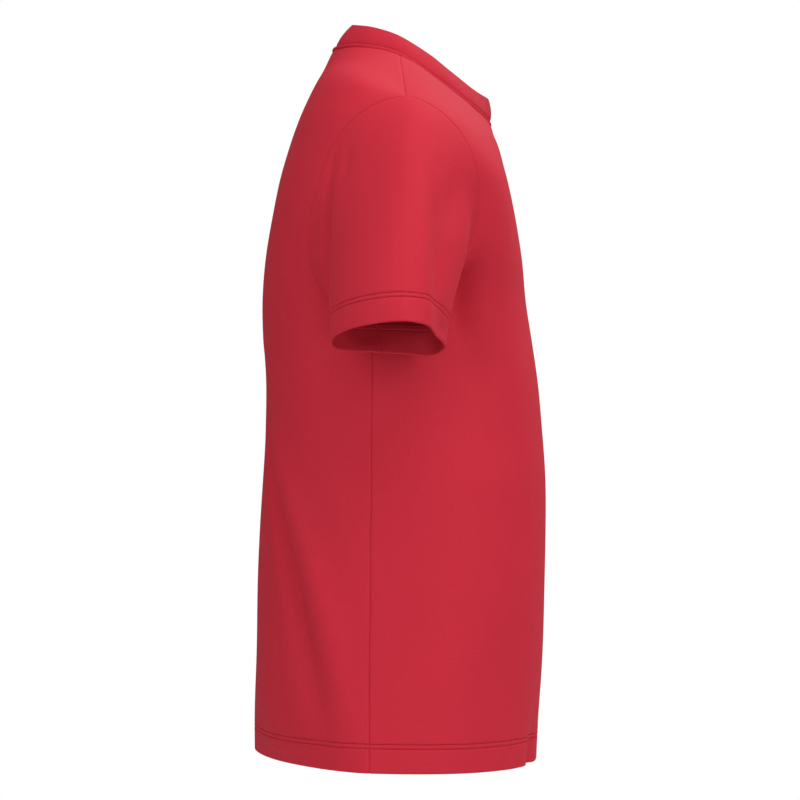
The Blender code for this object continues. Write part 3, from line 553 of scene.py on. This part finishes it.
def panelGrid(panel):    # the outer layer of a whole panel, right side to left
    form = PanelForm(panel)
    middle, side, reach = panelRows(form)
    columns = halfColumns()
    climb = np.clip((columns - trunk["dipStart"]) / (1.0 - trunk["dipStart"]), 0.0, 1.0) ** 2
    across = columns[None, :] * reach[:, None]
    level = middle[:, None] + (side - middle)[:, None] * climb[None, :]
    half = form.points(across.ravel(), level.ravel()).reshape(level.shape + (3,))
    fade = ease(np.clip((1.0 - columns) / (1.0 - trunk["foldEdge"]), 0.0, 1.0))[None, :]
    normals = outward(half, False)
    halves = []
    for hand in (-1, 1):
        depth = foldDepth(trunk["folds"][panel, hand], across, half[..., 2], trunk["foldSpan"])
        folded = half - normals * (depth * fade)[..., None]
        folded[..., 0] *= hand
        halves.append(folded)
    right, left = halves
    middleLine = (right[:, :1] + left[:, :1]) / 2
    return np.concatenate([right[:, :0:-1], middleLine, left[:, 1:]], axis=1)


def evenArmholes(front, back):    # takes small dents out of how far out each armhole's edge lies
    count = len(climbShares())
    columns = halfColumns()
    columns = np.concatenate([columns[:0:-1], columns])
    reach = ease(np.clip((columns - trunk["evenFrom"]) / (1.0 - trunk["evenFrom"]), 0.0, 1.0))
    climb = np.clip(climbShares() / trunk["evenRise"], 0.0, 1.0)
    middle = front.shape[1] // 2
    for side, half in ((0, slice(0, middle)), (-1, slice(middle + 1, None))):
        loop = np.concatenate([front[-count:, side], back[-count:, side][-2:0:-1]])
        steps = np.linalg.norm(np.diff(loop, axis=0, append=loop[:1]), axis=1)
        lengths = np.concatenate([[0.0], np.cumsum(steps)[:-1]])
        shift = gaussianLoop(loop[:, 0], lengths, steps.sum(), trunk["evenWidth"]) - loop[:, 0]
        frontShift = shift[:count] * climb
        backShift = np.concatenate([shift[:1], shift[:count - 2:-1]]) * climb
        front[-count:, half, 0] += frontShift[:, None] * reach[None, half]
        back[-count:, half, 0] += backShift[:, None] * reach[None, half]


# the sleeves
sleeve = {
    # x and y of the opening, from the underarm seam forward
    "opening": (
        (0.2000, 0.0175), (0.1960, -0.0050), (0.1915, -0.0300), (0.2165, -0.0435),
        (0.2560, -0.0350), (0.2860, -0.0265), (0.3005, -0.0090), (0.2915, 0.0280),
        (0.2700, 0.0530), (0.2410, 0.0660), (0.2140, 0.0620), (0.2030, 0.0400),
    ),
    "openingZ": -0.2745,                       # height of its first point
    "openingRise": 0.285,                      # rise for each metre outwards
    "underarmRun": (1.0, 0.0, -0.45),          # the way the cloth runs off the armhole at the underarm
    "underarmRunShare": 0.45,                  # share of the armhole's height over which that fades out
    "openingRun": (0.22, 0.0, -0.975),         # the way it runs at the opening
    "runEven": 0.022,                          # length over which directions round the armhole are evened out
    "roundWidth": 0.021,                       # length over which the way round is evened out
    "roundRise": 0.22,                         # share of the way down at which that is whole
    "roundFall": 0.70,                         # and from which it fades out
    "startPull": 0.85,                         # how far the cloth keeps its first direction
    "endPull": 1.0,                            # and its last
    "steps": 54,                               # rows between those at the armhole and the hem
    # lengths from the armhole to the first rows
    "startRows": (0.0, 0.0007, 0.0014, 0.0024, 0.0038, 0.0055),
    "hemShare": 0.25,                          # share of the way down that the hem takes up
    "cut": ((0.44, 0.25), 0.070),
    # folds by side: down, round, depth, half width
    "folds": {
        -1: (
            ((0.015, 0.655, 0.0, 0.012), (0.07, 0.700, 0.0026, 0.012), (0.14, 0.750, 0.0052, 0.013),
             (0.26, 0.795, 0.0076, 0.014), (0.48, 0.845, 0.0078, 0.015), (0.80, 0.870, 0.0028, 0.015),
             (0.95, 0.880, 0.0, 0.014)),
            ((0.02, 0.230, 0.0, 0.036), (0.16, 0.245, -0.0085, 0.036), (0.36, 0.265, -0.0125, 0.034),
             (0.56, 0.280, -0.0090, 0.034), (0.76, 0.295, -0.0035, 0.034), (0.94, 0.290, 0.0, 0.030)),
            ((0.28, 0.405, 0.0, 0.016), (0.48, 0.395, 0.0032, 0.013), (0.68, 0.385, 0.0032, 0.012),
             (0.88, 0.380, 0.0, 0.012)),
            ((0.30, 0.458, 0.0, 0.014), (0.52, 0.450, -0.0024, 0.012), (0.76, 0.444, -0.0028, 0.011),
             (1.00, 0.440, -0.0012, 0.011)),
            ((0.06, 0.630, 0.0, 0.010), (0.12, 0.655, 0.0018, 0.009), (0.18, 0.672, 0.0, 0.010)),
            ((0.10, 0.340, 0.0, 0.014), (0.28, 0.345, 0.0022, 0.014), (0.46, 0.350, 0.0, 0.014)),
            ((0.88, 0.960, 0.0, 0.010), (1.00, 0.965, 0.0020, 0.009)),
        ),
        1: (
            ((0.02, 0.665, 0.0, 0.012), (0.08, 0.710, 0.0024, 0.012), (0.16, 0.760, 0.0048, 0.013),
             (0.30, 0.800, 0.0072, 0.014), (0.50, 0.840, 0.0070, 0.015), (0.78, 0.865, 0.0026, 0.015),
             (0.93, 0.875, 0.0, 0.014)),
            ((0.02, 0.235, 0.0, 0.036), (0.17, 0.250, -0.0080, 0.036), (0.38, 0.270, -0.0115, 0.034),
             (0.58, 0.285, -0.0082, 0.034), (0.78, 0.295, -0.0032, 0.034), (0.95, 0.290, 0.0, 0.030)),
            ((0.32, 0.410, 0.0, 0.016), (0.50, 0.400, 0.0028, 0.013), (0.70, 0.390, 0.0028, 0.012),
             (0.88, 0.385, 0.0, 0.012)),
            ((0.36, 0.462, 0.0, 0.014), (0.60, 0.454, -0.0022, 0.012), (1.00, 0.446, -0.0014, 0.011)),
            ((0.05, 0.620, 0.0, 0.010), (0.11, 0.640, 0.0016, 0.010), (0.18, 0.660, 0.0, 0.010)),
            ((0.90, 0.955, 0.0, 0.010), (1.00, 0.960, 0.0016, 0.010)),
        ),
    },
}


def armholeRun(edge, inside):    # the way a panel reaches its edge, square to it
    tangent = unit(np.gradient(edge, axis=0))
    run = edge - inside
    return unit(run - tangent * np.sum(run * tangent, axis=-1, keepdims=True))


def sleeveColumn(line):    # its rows, and how far down each lies
    lengths = lengthsOf(line)
    heights, _ = hemHeights()
    last = lengths[-1] - heights[::-1]
    start = np.array(sleeve["startRows"])
    body = np.linspace(start[-1], last[0], sleeve["steps"] + 1)[1:-1]
    at = np.concatenate([start, body, last])
    down = np.clip(at / last[0], 0.0, 1.0) * (1.0 - sleeve["hemShare"])
    down += np.clip((at - last[0]) / (lengths[-1] - last[0]), 0.0, 1.0) * sleeve["hemShare"]
    return atLengths(lengths, line, at), down


def rounded(grid, down, shares):    # evens out the way round, with each row's girth kept
    rise = np.clip(down / sleeve["roundRise"], 0.0, 1.0)
    fall = np.clip((down - sleeve["roundFall"]) / (1.0 - sleeve["roundFall"]), 0.0, 1.0)
    weight = ease(rise) * (1.0 - ease(fall))
    even = np.empty_like(grid)
    for row, (line, girth) in enumerate(zip(grid, girths(grid))):
        soft = gaussianLoop(line, shares * girth, girth, sleeve["roundWidth"])
        middle = soft.mean(axis=0)
        even[row] = middle + (soft - middle) * girth / girths(soft[None])[0]
    return grid + (even - grid) * weight[..., None]


def sleeveStart(front, back, hand):    # the armhole's edge, and the way the cloth runs off it
    count = len(climbShares())
    loops = []
    runs = []
    for panel, last in ((front, hand > 0), (back, hand < 0)):
        beside = panel[-count:]
        seamLine, near = (beside[:, -1], beside[:, -2]) if last else (beside[:, 0], beside[:, 1])
        loops.append(seamLine)
        runs.append(armholeRun(seamLine, near))
    return np.concatenate([loops[0], loops[1][-2:0:-1]]), np.concatenate([runs[0], runs[1][-2:0:-1]])


def sleeveGrid(front, back, hand):    # rows from the armhole down to the opening, all round
    start, run = sleeveStart(front, back, hand)
    steps = np.linalg.norm(np.diff(start, axis=0, append=start[:1]), axis=1)
    shares = np.concatenate([[0.0], np.cumsum(steps)[:-1]]) / steps.sum()
    run = unit(gaussianLoop(run, shares * steps.sum(), steps.sum(), sleeve["runEven"]))
    climb = (start[:, 2] - shirt["underarmZ"]) / (shirt["shoulderPoint"][2] - shirt["underarmZ"])
    climb = ease(np.clip(climb / sleeve["underarmRunShare"], 0.0, 1.0))[:, None]
    mirror = np.array((hand, 1.0, 1.0))
    run = unit(run * climb + unit(np.array(sleeve["underarmRun"])) * mirror * (1.0 - climb))
    ring = [sleeve["opening"][-1]] + list(sleeve["opening"]) + list(sleeve["opening"][:2])
    opening = stretch(ring, 1, len(sleeve["opening"]) + 1, shares)
    openingZ = sleeve["openingZ"] + sleeve["openingRise"] * (opening[:, 0] - sleeve["opening"][0][0])
    end = np.column_stack([opening, openingZ]) * mirror
    chord = np.linalg.norm(end - start, axis=1, keepdims=True)
    t = np.linspace(0.0, 1.0, shirt["samples"])[:, None, None]
    arrive = unit(np.array(sleeve["openingRun"])) * mirror
    fine = hermite(start, end, run * chord * sleeve["startPull"], arrive * chord * sleeve["endPull"], t)
    columns = [sleeveColumn(fine[:, column]) for column in range(len(start))]
    grid = np.stack([points for points, _ in columns], axis=1)
    down = np.stack([share for _, share in columns], axis=1)
    grid = rounded(grid, down, shares)
    depth = foldDepth(sleeve["folds"][hand], shares[None, :], down, girths(grid)[:, None])
    return grid - outward(grid, True) * depth[..., None]


# seams
seam = {
    "sink": 0.0015,                            # how far the cloth dips into a side or underarm seam
    "armholeSink": 0.0007,
    "shoulderSink": 0.0008,
    "reach": 0.0007,                           # half width of such a dip
    "sharpness": 1.3,                          # power by which a dip falls off
    "samePlace": 1e-6,                         # points this close are one
    "leastLean": 0.2,                          # keeps a shared direction from growing without end
    "waves": (                                 # slow unevenness: ways along x, y and z, phase, height
        ((19.0, 11.0, 27.0), 0.4, 0.00045),
        ((-31.0, 17.0, 14.0), 2.1, 0.00035),
        ((12.0, -37.0, 33.0), 4.0, 0.00025),
        ((47.0, 29.0, -21.0), 1.2, 0.00018),
    ),
}


def edgeCells(shape, closed):    # the rows and columns that lie at a seam or a free edge
    rows, columns = np.indices(shape)
    lines = [(rows[0], columns[0]), (rows[-1], columns[-1])]
    if not closed:
        lines += [(rows[:, 0], columns[:, 0]), (rows[:, -1], columns[:, -1])]
    return [cell for line in lines for cell in zip(*line)]


def sharedLeans(grids):    # normals, halved with the neighbour's where pieces meet
    normals = {name: outward(grid, closed) for name, (grid, closed) in grids.items()}
    met = {}
    edges = []
    for name, (grid, closed) in grids.items():
        side = "trunk" if name in ("front", "back") else name
        for cell in edgeCells(grid.shape[:2], closed):
            place = tuple(np.round(grid[cell] / seam["samePlace"]).astype(int))
            met.setdefault(place, {}).setdefault(side, []).append(normals[name][cell])
            edges.append((name, cell, place))
    leans = {name: normal.copy() for name, normal in normals.items()}
    for name, cell, place in edges:
        shared = np.mean([unit(np.sum(side, axis=0)) for side in met[place].values()], axis=0)
        leans[name][cell] = shared / max(shared @ shared, seam["leastLean"])
    return leans


def seamDip(distance, sink, reach):    # how deep the cloth lies this far from a seam
    return sink * np.exp(-(distance / reach) ** seam["sharpness"])


def unevenness(grid):
    total = np.zeros(grid.shape[:2])
    for ways, phase, height in seam["waves"]:
        total += height * np.sin(grid @ np.array(ways) + phase)
    return total


def neckDips(top, fromTop, shoulder, neckLoop):    # the neck seam, the ridge below it and its stitches
    distance = np.minimum(lineDistance(top.reshape(-1, 3), neckLoop), neck["farthest"]).reshape(fromTop.shape)
    clear = np.clip((distance - neck["stitchLine"]) / neck["clearReach"], 0.0, 1.0)
    dip = seamDip(fromTop, seam["shoulderSink"], seam["reach"]) * shoulder * clear
    ridge = 1.0 / (1.0 + np.exp(-(distance - neck["ridgeStart"]) / neck["ridgeSoft"]))
    ridge *= 1.0 / (1.0 + np.exp((distance - neck["ridgeEnd"]) / neck["ridgeSoft"]))
    dip -= np.interp(top[..., 1], neck["ridgePlaces"], neck["ridge"]) * ridge
    dip += neck["stitchSink"] * np.exp(-((distance - neck["stitchLine"]) / neck["stitchReach"]) ** 2)
    return dip + seamDip(distance, neck["groove"], neck["grooveReach"]) * ~shoulder


def panelDips(grid, neckLoop):
    across = rowLengths(grid)
    sink = np.full((len(grid), 1), seam["sink"])
    sink[1 - len(climbShares()):] = seam["armholeSink"]
    dip = seamDip(across, sink, seam["reach"]) + seamDip(across[:, -1:] - across, sink, seam["reach"])
    up = columnLengths(grid)
    columns = np.arange(grid.shape[1])
    shoulder = np.abs(columns - grid.shape[1] // 2) > trunk["neckSteps"]
    rows = trunk["neckRows"]
    dip[-rows:] += neckDips(grid[-rows:], (up[-1] - up)[-rows:], shoulder, neckLoop)
    heights, _ = hemHeights()
    dip[:len(heights)] += hemDip(heights[:, None], across[:len(heights)])
    return dip


def sleeveDips(grid):
    down = columnLengths(grid)
    around = rowLengths(closedRows(grid))
    girth = around[:, -1:]
    around = around[:, :-1]
    dip = seamDip(down, seam["armholeSink"], seam["reach"])
    dip += seamDip(np.minimum(around, girth - around), seam["sink"], seam["reach"])
    heights, _ = hemHeights()
    count = len(heights)
    dip[-count:] += hemDip(heights[::-1][:, None], around[-count:])
    return dip


class Cloth:    # one piece's rows and columns, plain and with its seams worked in
    def __init__(self, grid, closed, lean, dips):
        waves = unevenness(grid)
        self.grid = grid
        self.closed = closed
        self.up = outward(grid, closed)
        self.outside = grid - lean * (dips - waves)[..., None]
        self.inside = grid + lean * (dips * hem["insideShare"] + waves)[..., None]

    def face(self, rows, columns):    # its outer face, at rows that may lie between two of its own
        low = np.minimum(np.floor(rows).astype(int), len(self.grid) - 2)
        share = (rows - low)[:, None]
        place = self.outside[low, columns] * (1.0 - share) + self.outside[low + 1, columns] * share
        up = unit(self.up[low, columns] * (1.0 - share) + self.up[low + 1, columns] * share)
        return place + up * shirt["jersey"] / 2, up


# meshes

def clothMesh(name, points, closed):    # a grid laid on the points, with its lengths of cloth as the UV map
    rows, columns = points.shape[:2]
    wide = columns if closed else columns - 1
    bpy.ops.object.select_all(action="DESELECT")
    bpy.ops.mesh.primitive_grid_add(x_subdivisions=wide, y_subdivisions=rows - 1, size=1.0)
    piece = bpy.context.active_object
    piece.name = name
    piece.data.name = name
    full = closedRows(points) if closed else points
    widths = rowLengths(full)
    lengths = columnLengths(full)
    if not closed:
        widths = widths - widths[:, -1:] / 2
    corners = np.array([v.co[:2] for v in piece.data.vertices]) + 0.5
    column, row = np.round(corners * (wide, rows - 1)).astype(int).T
    piece.data.vertices.foreach_set("co", full[row, column].ravel())
    loops = np.empty(len(piece.data.loops), dtype=np.int32)
    piece.data.loops.foreach_get("vertex_index", loops)
    cloth = np.stack([widths[row, column], lengths[row, column]], axis=-1)[loops]
    piece.data.uv_layers.active.data.foreach_set("uv", cloth.ravel())
    bpy.ops.object.mode_set(mode="EDIT")
    bpy.ops.mesh.select_all(action="SELECT")
    bpy.ops.mesh.remove_doubles(threshold=shirt["mergeDistance"])
    bpy.ops.mesh.normals_make_consistent(inside=False)
    bpy.ops.object.mode_set(mode="OBJECT")
    return piece


def finishCloth(piece, cloth, thickness, material):    # gives a piece its thickness, outer side out
    mesh = piece.data
    middle = mesh.polygons[len(mesh.polygons) // 2]
    away = cloth.outside.reshape(-1, 3) - np.array(middle.center)
    nearest = np.argmin(np.sum(away**2, axis=-1))
    if np.dot(cloth.up.reshape(-1, 3)[nearest], middle.normal) < 0.0:
        mesh.flip_normals()
    thick = piece.modifiers.new("thickness", "SOLIDIFY")
    thick.thickness = thickness
    thick.offset = 0.0
    bpy.context.view_layer.objects.active = piece
    bpy.ops.object.modifier_apply(modifier=thick.name)
    bpy.ops.object.shade_smooth_by_angle(angle=math.radians(shirt["smoothAngle"]))
    mesh.materials.clear()
    mesh.materials.append(material)
    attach(piece, "root")


# stitches
stitch = {
    "pitch": 0.0030,
    "length": 0.0024,
    "radius": 0.00028,
    "rings": 4,
    "sides": 6,
    "runReach": 0.0004,                        # how far on each side the way of a line is read
}


def neckStitches(cloth, neckLoop):    # below half the neck seam, out to the shoulder seams
    middle = cloth.grid.shape[1] // 2
    steps = trunk["neckSteps"]
    columns = np.arange(middle - steps, middle + steps + 1)
    rows = trunk["neckRows"]
    near = cloth.grid[-rows:, columns]
    away = lineDistance(near.reshape(-1, 3), neckLoop).reshape(rows, -1)
    first = len(cloth.grid) - rows
    at = [first + np.interp(-neck["stitchLine"], -column, np.arange(rows)) for column in away.T]
    points, normals = cloth.face(np.array(at), columns)
    edge = cloth.outside[-1] + cloth.up[-1] * shirt["jersey"] / 2
    ends = []
    for column, way in ((columns[0], -1), (columns[-1], 1)):
        shoulderSeam = edge[column::way]
        ends.append(atLengths(lengthsOf(shoulderSeam), shoulderSeam, neck["stitchLine"]))
    points[[0, -1]] = ends
    normals[[0, -1]] = cloth.up[-1, [columns[0] - 1, columns[-1] + 1]]
    return points, normals, False


def hemStitches(cloth):    # two rows outside and two inside
    heights, _ = hemHeights()
    surface = shirt["jersey"] / 2
    lines = []
    for line in hem["lines"]:
        row = int(np.argmin(np.abs(heights - line)))
        row = -1 - row if cloth.closed else row
        up = cloth.up[row]
        lines.append((cloth.outside[row] + up * surface, up, cloth.closed))
        lines.append((cloth.inside[row] - up * (2.0 * hem["turn"] + surface), -up, cloth.closed))
    return lines


def stitchRow(name, lines, material):    # one thread shape, copied along lines of points, normals, closed
    bpy.ops.object.select_all(action="DESELECT")
    bpy.ops.mesh.primitive_uv_sphere_add(segments=stitch["sides"], ring_count=stitch["rings"], radius=1.0,
                                         rotation=(0.0, math.pi / 2, 0.0))
    bpy.ops.object.transform_apply(location=False, rotation=True, scale=False)
    single = bpy.context.active_object
    shape = np.array([v.co[:] for v in single.data.vertices])
    shape *= (stitch["length"] / 2, stitch["radius"], stitch["radius"])
    faces = [tuple(face.vertices) for face in single.data.polygons]
    allPoints = []
    allFaces = []
    for points, normals, closed in lines:
        if closed:
            points = np.concatenate([points, points[:1]])
            normals = np.concatenate([normals, normals[:1]])
        lengths = lengthsOf(points)
        count = int(round(lengths[-1] / stitch["pitch"]))
        at = (np.arange(count) + 0.5) * lengths[-1] / count
        place, ahead, behind = (atLengths(lengths, points, at + shift)
                                for shift in (0.0, stitch["runReach"], -stitch["runReach"]))
        up = unit(atLengths(lengths, normals, at))
        run = unit(ahead - behind)
        across = unit(np.cross(up, run))
        up = np.cross(run, across)
        for centre, x, y, z in zip(place, run, across, up):
            base = len(allPoints) * len(shape)
            allPoints.append(centre + shape @ np.stack([x, y, z]))
            allFaces += [tuple(base + corner for corner in face) for face in faces]
    mesh = bpy.data.meshes.new(name)
    mesh.from_pydata(np.concatenate(allPoints).tolist(), [], allFaces)
    bpy.data.objects.remove(single, do_unlink=True)
    row = bpy.data.objects.new(name, mesh)
    bpy.context.scene.collection.objects.link(row)
    mesh.shade_smooth()
    mesh.materials.append(material)
    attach(row, "root")
    return row


# cloth and thread

class Wire:    # a socket that can be used in sums
    def __init__(self, book, socket):
        self.book = book
        self.socket = socket

    def math(self, operation, *others):
        return self.book.node("ShaderNodeMath", {"operation": operation}, dict(enumerate((self,) + others)))

    def __add__(self, other):
        return self.math("ADD", other)

    def __radd__(self, other):
        return self.math("ADD", other)

    def __sub__(self, other):
        return self.math("SUBTRACT", other)

    def __rsub__(self, other):
        return self.book.node("ShaderNodeMath", {"operation": "SUBTRACT"}, {0: other, 1: self})

    def __mul__(self, other):
        return self.math("MULTIPLY", other)

    def __rmul__(self, other):
        return self.math("MULTIPLY", other)


class NodeBook:    # the nodes of a material or of the world
    def __init__(self, owner):
        owner.use_nodes = True
        self.owner = owner
        self.nodes = owner.node_tree.nodes

    def node(self, kind, settings, inputs, output=0):
        made = self.nodes.new(kind)
        for key, value in settings.items():
            setattr(made, key, value)
        self.feed(made, inputs)
        return Wire(self, made.outputs[output])

    def feed(self, node, inputs):
        for key, value in inputs.items():
            if isinstance(value, Wire):
                self.owner.node_tree.links.new(value.socket, node.inputs[key])
            else:
                node.inputs[key].default_value = value

    def mix(self, share, first, second):
        return self.node("ShaderNodeMix", {"data_type": "RGBA"}, {0: share, 6: first, 7: second}, 2)

    def noise(self, source, scale, detail, roughness):    # its scale is one number, or one for each way
        if isinstance(scale, tuple):
            source = self.node("ShaderNodeMapping", {}, {"Vector": source, "Scale": scale})
            scale = 1.0
        inputs = {"Vector": source, "Scale": scale, "Detail": detail, "Roughness": roughness}
        return self.node("ShaderNodeTexNoise", {}, inputs)

    def bump(self, strength, distance, height):
        return self.node("ShaderNodeBump", {}, {"Strength": strength, "Distance": distance, "Height": height})

    def shade(self, inputs):
        self.feed(self.nodes["Principled BSDF"], inputs)
        return self.owner


jersey = {
    "colour": (0.600, 0.0205, 0.0420, 1.0),
    "shade": (0.540, 0.0175, 0.0365, 1.0),     # a darker tone, mixed in by noise
    "light": (0.660, 0.0235, 0.0475, 1.0),
    "paintedGlint": (0.660, 0.0330, 0.0570, 1.0),     # painted glint: a lighter, whiter colour where fibres catch the light
    "paintedGlintShare": 0.30,
    "paintedGlintPower": 2.0,
    "roughness": 0.72,
    "roughnessSpread": 0.12,
    "sheen": 0.04,
    "sheenRoughness": 0.35,
    "sheenTint": (1.0, 0.45, 0.50, 1.0),
    "specular": 0.18,
    "wale": 0.00095,                           # width of one column of loops
    "course": 0.00075,                         # height of one row of loops
    "waleShare": 0.6,
    "courseShare": 0.2,
    "courseBend": 2.2,                         # how far a row of loops bends over each column
    "knitDepth": 0.00006,
    "fuzzDepth": 0.00014,
    "mottleDepth": 0.00015,                    # the yarn isn't quite even
    "mottleShare": 0.30,                       # least and extra share of its colours
    "grainShare": 0.35,
    # noises: scale, detail, roughness
    "fuzz": ((900.0, 520.0, 1.0), 3.0, 0.6),
    "grain": ((1400.0, 700.0, 1.0), 1.0, 0.5),
    "mottle": ((260.0, 420.0, 1.0), 2.0, 0.6),
    "cloud": (14.0, 2.0, 0.5),
}
rib = dict(jersey, colour=(0.575, 0.0175, 0.0385, 1.0), shade=(0.520, 0.0150, 0.0340, 1.0),
           light=(0.630, 0.0200, 0.0430, 1.0), ribPitch=0.0017, ribDepth=0.00010, wale=0.00080)


def knitMaterial(name, look):
    book = NodeBook(bpy.data.materials.new(name))
    place = book.node("ShaderNodeTexCoord", {}, {}, "Object")
    cloth = book.node("ShaderNodeUVMap", {}, {})
    u = book.node("ShaderNodeSeparateXYZ", {}, {0: cloth})
    v = Wire(book, u.socket.node.outputs[1])
    wale = (u * (math.pi / look["wale"])).math("SINE").math("ABSOLUTE")
    loop = (v * (2.0 * math.pi / look["course"]) + wale * look["courseBend"]).math("SINE")
    knit = wale * look["waleShare"] + loop * look["courseShare"]
    fuzz = book.noise(cloth, *look["fuzz"])
    grain = book.noise(cloth, *look["grain"])
    mottle = book.noise(cloth, *look["mottle"])
    cloudy = book.mix(book.noise(place, *look["cloud"]), look["shade"], look["colour"])
    uneven = book.mix(mottle, look["shade"], look["light"])
    colour = book.mix(grain * look["grainShare"] + look["mottleShare"], cloudy, uneven)
    # the painted glint is mixed in where the fuzz noise is high
    colour = book.mix(fuzz.math("POWER", look["paintedGlintPower"]) * look["paintedGlintShare"], colour, look["paintedGlint"])
    height = knit * look["knitDepth"] + fuzz * look["fuzzDepth"] + mottle * look["mottleDepth"]
    if "ribPitch" in look:
        ribs = (u * (2.0 * math.pi / look["ribPitch"])).math("SINE")
        height = height + ribs * look["ribDepth"]
    return book.shade({
        "Base Color": colour,
        "Roughness": (fuzz - 0.5) * look["roughnessSpread"] + look["roughness"],
        "Normal": book.bump(1.0, 1.0, height),
        "Sheen Weight": look["sheen"],
        "Sheen Roughness": look["sheenRoughness"],
        "Sheen Tint": look["sheenTint"],
        "Specular IOR Level": look["specular"],
    })


thread = {
    # both thread colours are darker than the cloth: partly the thread's own colour, partly painted shade of
    # the stitch lines
    "dark": (0.20, 0.008, 0.016, 1.0),
    "light": (0.30, 0.012, 0.024, 1.0),
    "roughness": 0.6,
    "twist": (1800.0, 1.0, 0.5),               # noise: scale, detail, roughness
    "bump": (0.6, 0.0002),                     # strength, distance
}


def threadMaterial():
    book = NodeBook(bpy.data.materials.new("thread"))
    twist = book.noise(book.node("ShaderNodeTexCoord", {}, {}, "Object"), *thread["twist"])
    return book.shade({
        "Base Color": book.mix(twist, thread["dark"], thread["light"]),
        "Roughness": thread["roughness"],
        "Normal": book.bump(*thread["bump"], twist),
    })


jerseyCloth = knitMaterial("jersey", jersey)
ribCloth = knitMaterial("rib", rib)
sewingThread = threadMaterial()
print("materials ready")

# the pieces
front = panelGrid("front")
back = panelGrid("back")
evenArmholes(front, back)
back = back[:, ::-1]
grids = {
    "front": (front, False),
    "back": (back, False),
    "sleeve_right": (sleeveGrid(front, back, -1), True),
    "sleeve_left": (sleeveGrid(front, back, 1), True),
    "neckband": (bandRows(front, back), True),
}
leans = sharedLeans(grids)
neckLoop = closedRows(grids["neckband"][0])[0]
print("cloth laid out")

cloths = {}
for name, (grid, closed) in grids.items():
    if name == "neckband":
        dips = seamDip(columnLengths(grid), neck["bandSink"], neck["bandReach"])
    elif closed:
        dips = sleeveDips(grid)
    else:
        dips = panelDips(grid, neckLoop)
    cloths[name] = Cloth(grid, closed, leans[name], dips)
bandCloth = cloths.pop("neckband")
print("seams worked in")

for name, cloth in cloths.items():
    piece = clothMesh(name + "_cloth", turnedUp(cloth), cloth.closed)
    finishCloth(piece, cloth, shirt["jersey"], jerseyCloth)
    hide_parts(name)
    print(name, "made")

band = clothMesh("neckband_cloth", foldedBand(bandCloth.outside, bandCloth.up), True)
finishCloth(band, bandCloth, neck["rib"], ribCloth)
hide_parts("neckband")
print("neckband made")

for name, cloth in cloths.items():
    lines = [] if cloth.closed else [neckStitches(cloth, neckLoop)]
    row = stitchRow(name + "_stitches", lines + hemStitches(cloth), sewingThread)
print("stitches made")

# floor, backdrop, light and camera
studio = {
    "floorZ": -1.30,
    "floorRadius": 2.4,
    "floorSides": 96,
    "floorColour": (0.86, 0.86, 0.87, 1.0),
    "floorRoughness": 0.9,
    "white": (1.0, 1.0, 1.0, 1.0),
    "ambient": 0.09,
    "cameraX": -3.3,
    "cameraZ": -0.320,
    "lens": 144.0,
    "film": 36.0,
    # lights: name, place, size, power
    "lights": (
        ("above", (-0.9, -0.5, 2.6), 2.4, 61.0),
        ("far front", (1.6, -1.6, 2.0), 1.8, 37.0),
        ("front", (-1.8, -2.8, 1.0), 2.0, 39.0),
        ("back", (-2.6, 2.2, 0.8), 2.0, 44.0),
        ("far back", (0.2, 3.2, 0.8), 2.0, 7.0),
        ("side", (-3.0, -0.5, 2.0), 2.2, 8.0),
        ("low", (-2.6, -1.6, -1.0), 1.6, 14.0),
    ),
}
bpy.ops.object.select_all(action="DESELECT")
bpy.ops.mesh.primitive_circle_add(vertices=studio["floorSides"], radius=studio["floorRadius"],
                                  fill_type="NGON", location=(0.0, 0.0, studio["floorZ"]))
floor = bpy.context.active_object
floor.name = "floor"
pale = NodeBook(bpy.data.materials.new("floor"))
floor.data.materials.append(pale.shade({"Base Color": studio["floorColour"],
                                        "Roughness": studio["floorRoughness"]}))

# the world lights the shirt faintly and shows white to the camera
book = NodeBook(bpy.data.worlds.new("studio"))
bpy.context.scene.world = book.owner
book.feed(book.nodes["Background"], {"Color": studio["white"], "Strength": studio["ambient"]})
faint = Wire(book, book.nodes["Background"].outputs[0])
plain = book.node("ShaderNodeBackground", {}, {"Color": studio["white"], "Strength": 1.0})
seen = book.node("ShaderNodeLightPath", {}, {}, "Is Camera Ray")
either = book.node("ShaderNodeMixShader", {}, {0: seen, 1: faint, 2: plain})
book.feed(book.nodes["World Output"], {"Surface": either})
bpy.context.scene.view_settings.view_transform = "Standard"

for name, place, size, power in studio["lights"]:
    light = bpy.data.lights.new(name, "AREA")
    light.size = size
    light.energy = power
    lamp = bpy.data.objects.new(name, light)
    bpy.context.scene.collection.objects.link(lamp)
    lamp.location = place
    towards = np.array((0.0, 0.0, studio["cameraZ"])) - np.array(place)    # it points at the shirt's middle
    turnZ = math.atan2(towards[1], towards[0])
    tip = math.acos(-towards[2] / np.linalg.norm(towards))
    lamp.rotation_euler = (tip, 0.0, turnZ - math.pi / 2)

cameraData = bpy.data.cameras.new("camera")
cameraData.lens = studio["lens"]
cameraData.sensor_width = studio["film"]
camera = bpy.data.objects.new("camera", cameraData)
bpy.context.scene.collection.objects.link(camera)
camera.location = (studio["cameraX"], 0.0, studio["cameraZ"])
camera.rotation_euler = (math.pi / 2, 0.0, -math.pi / 2)
bpy.context.scene.camera = camera
print("studio ready")
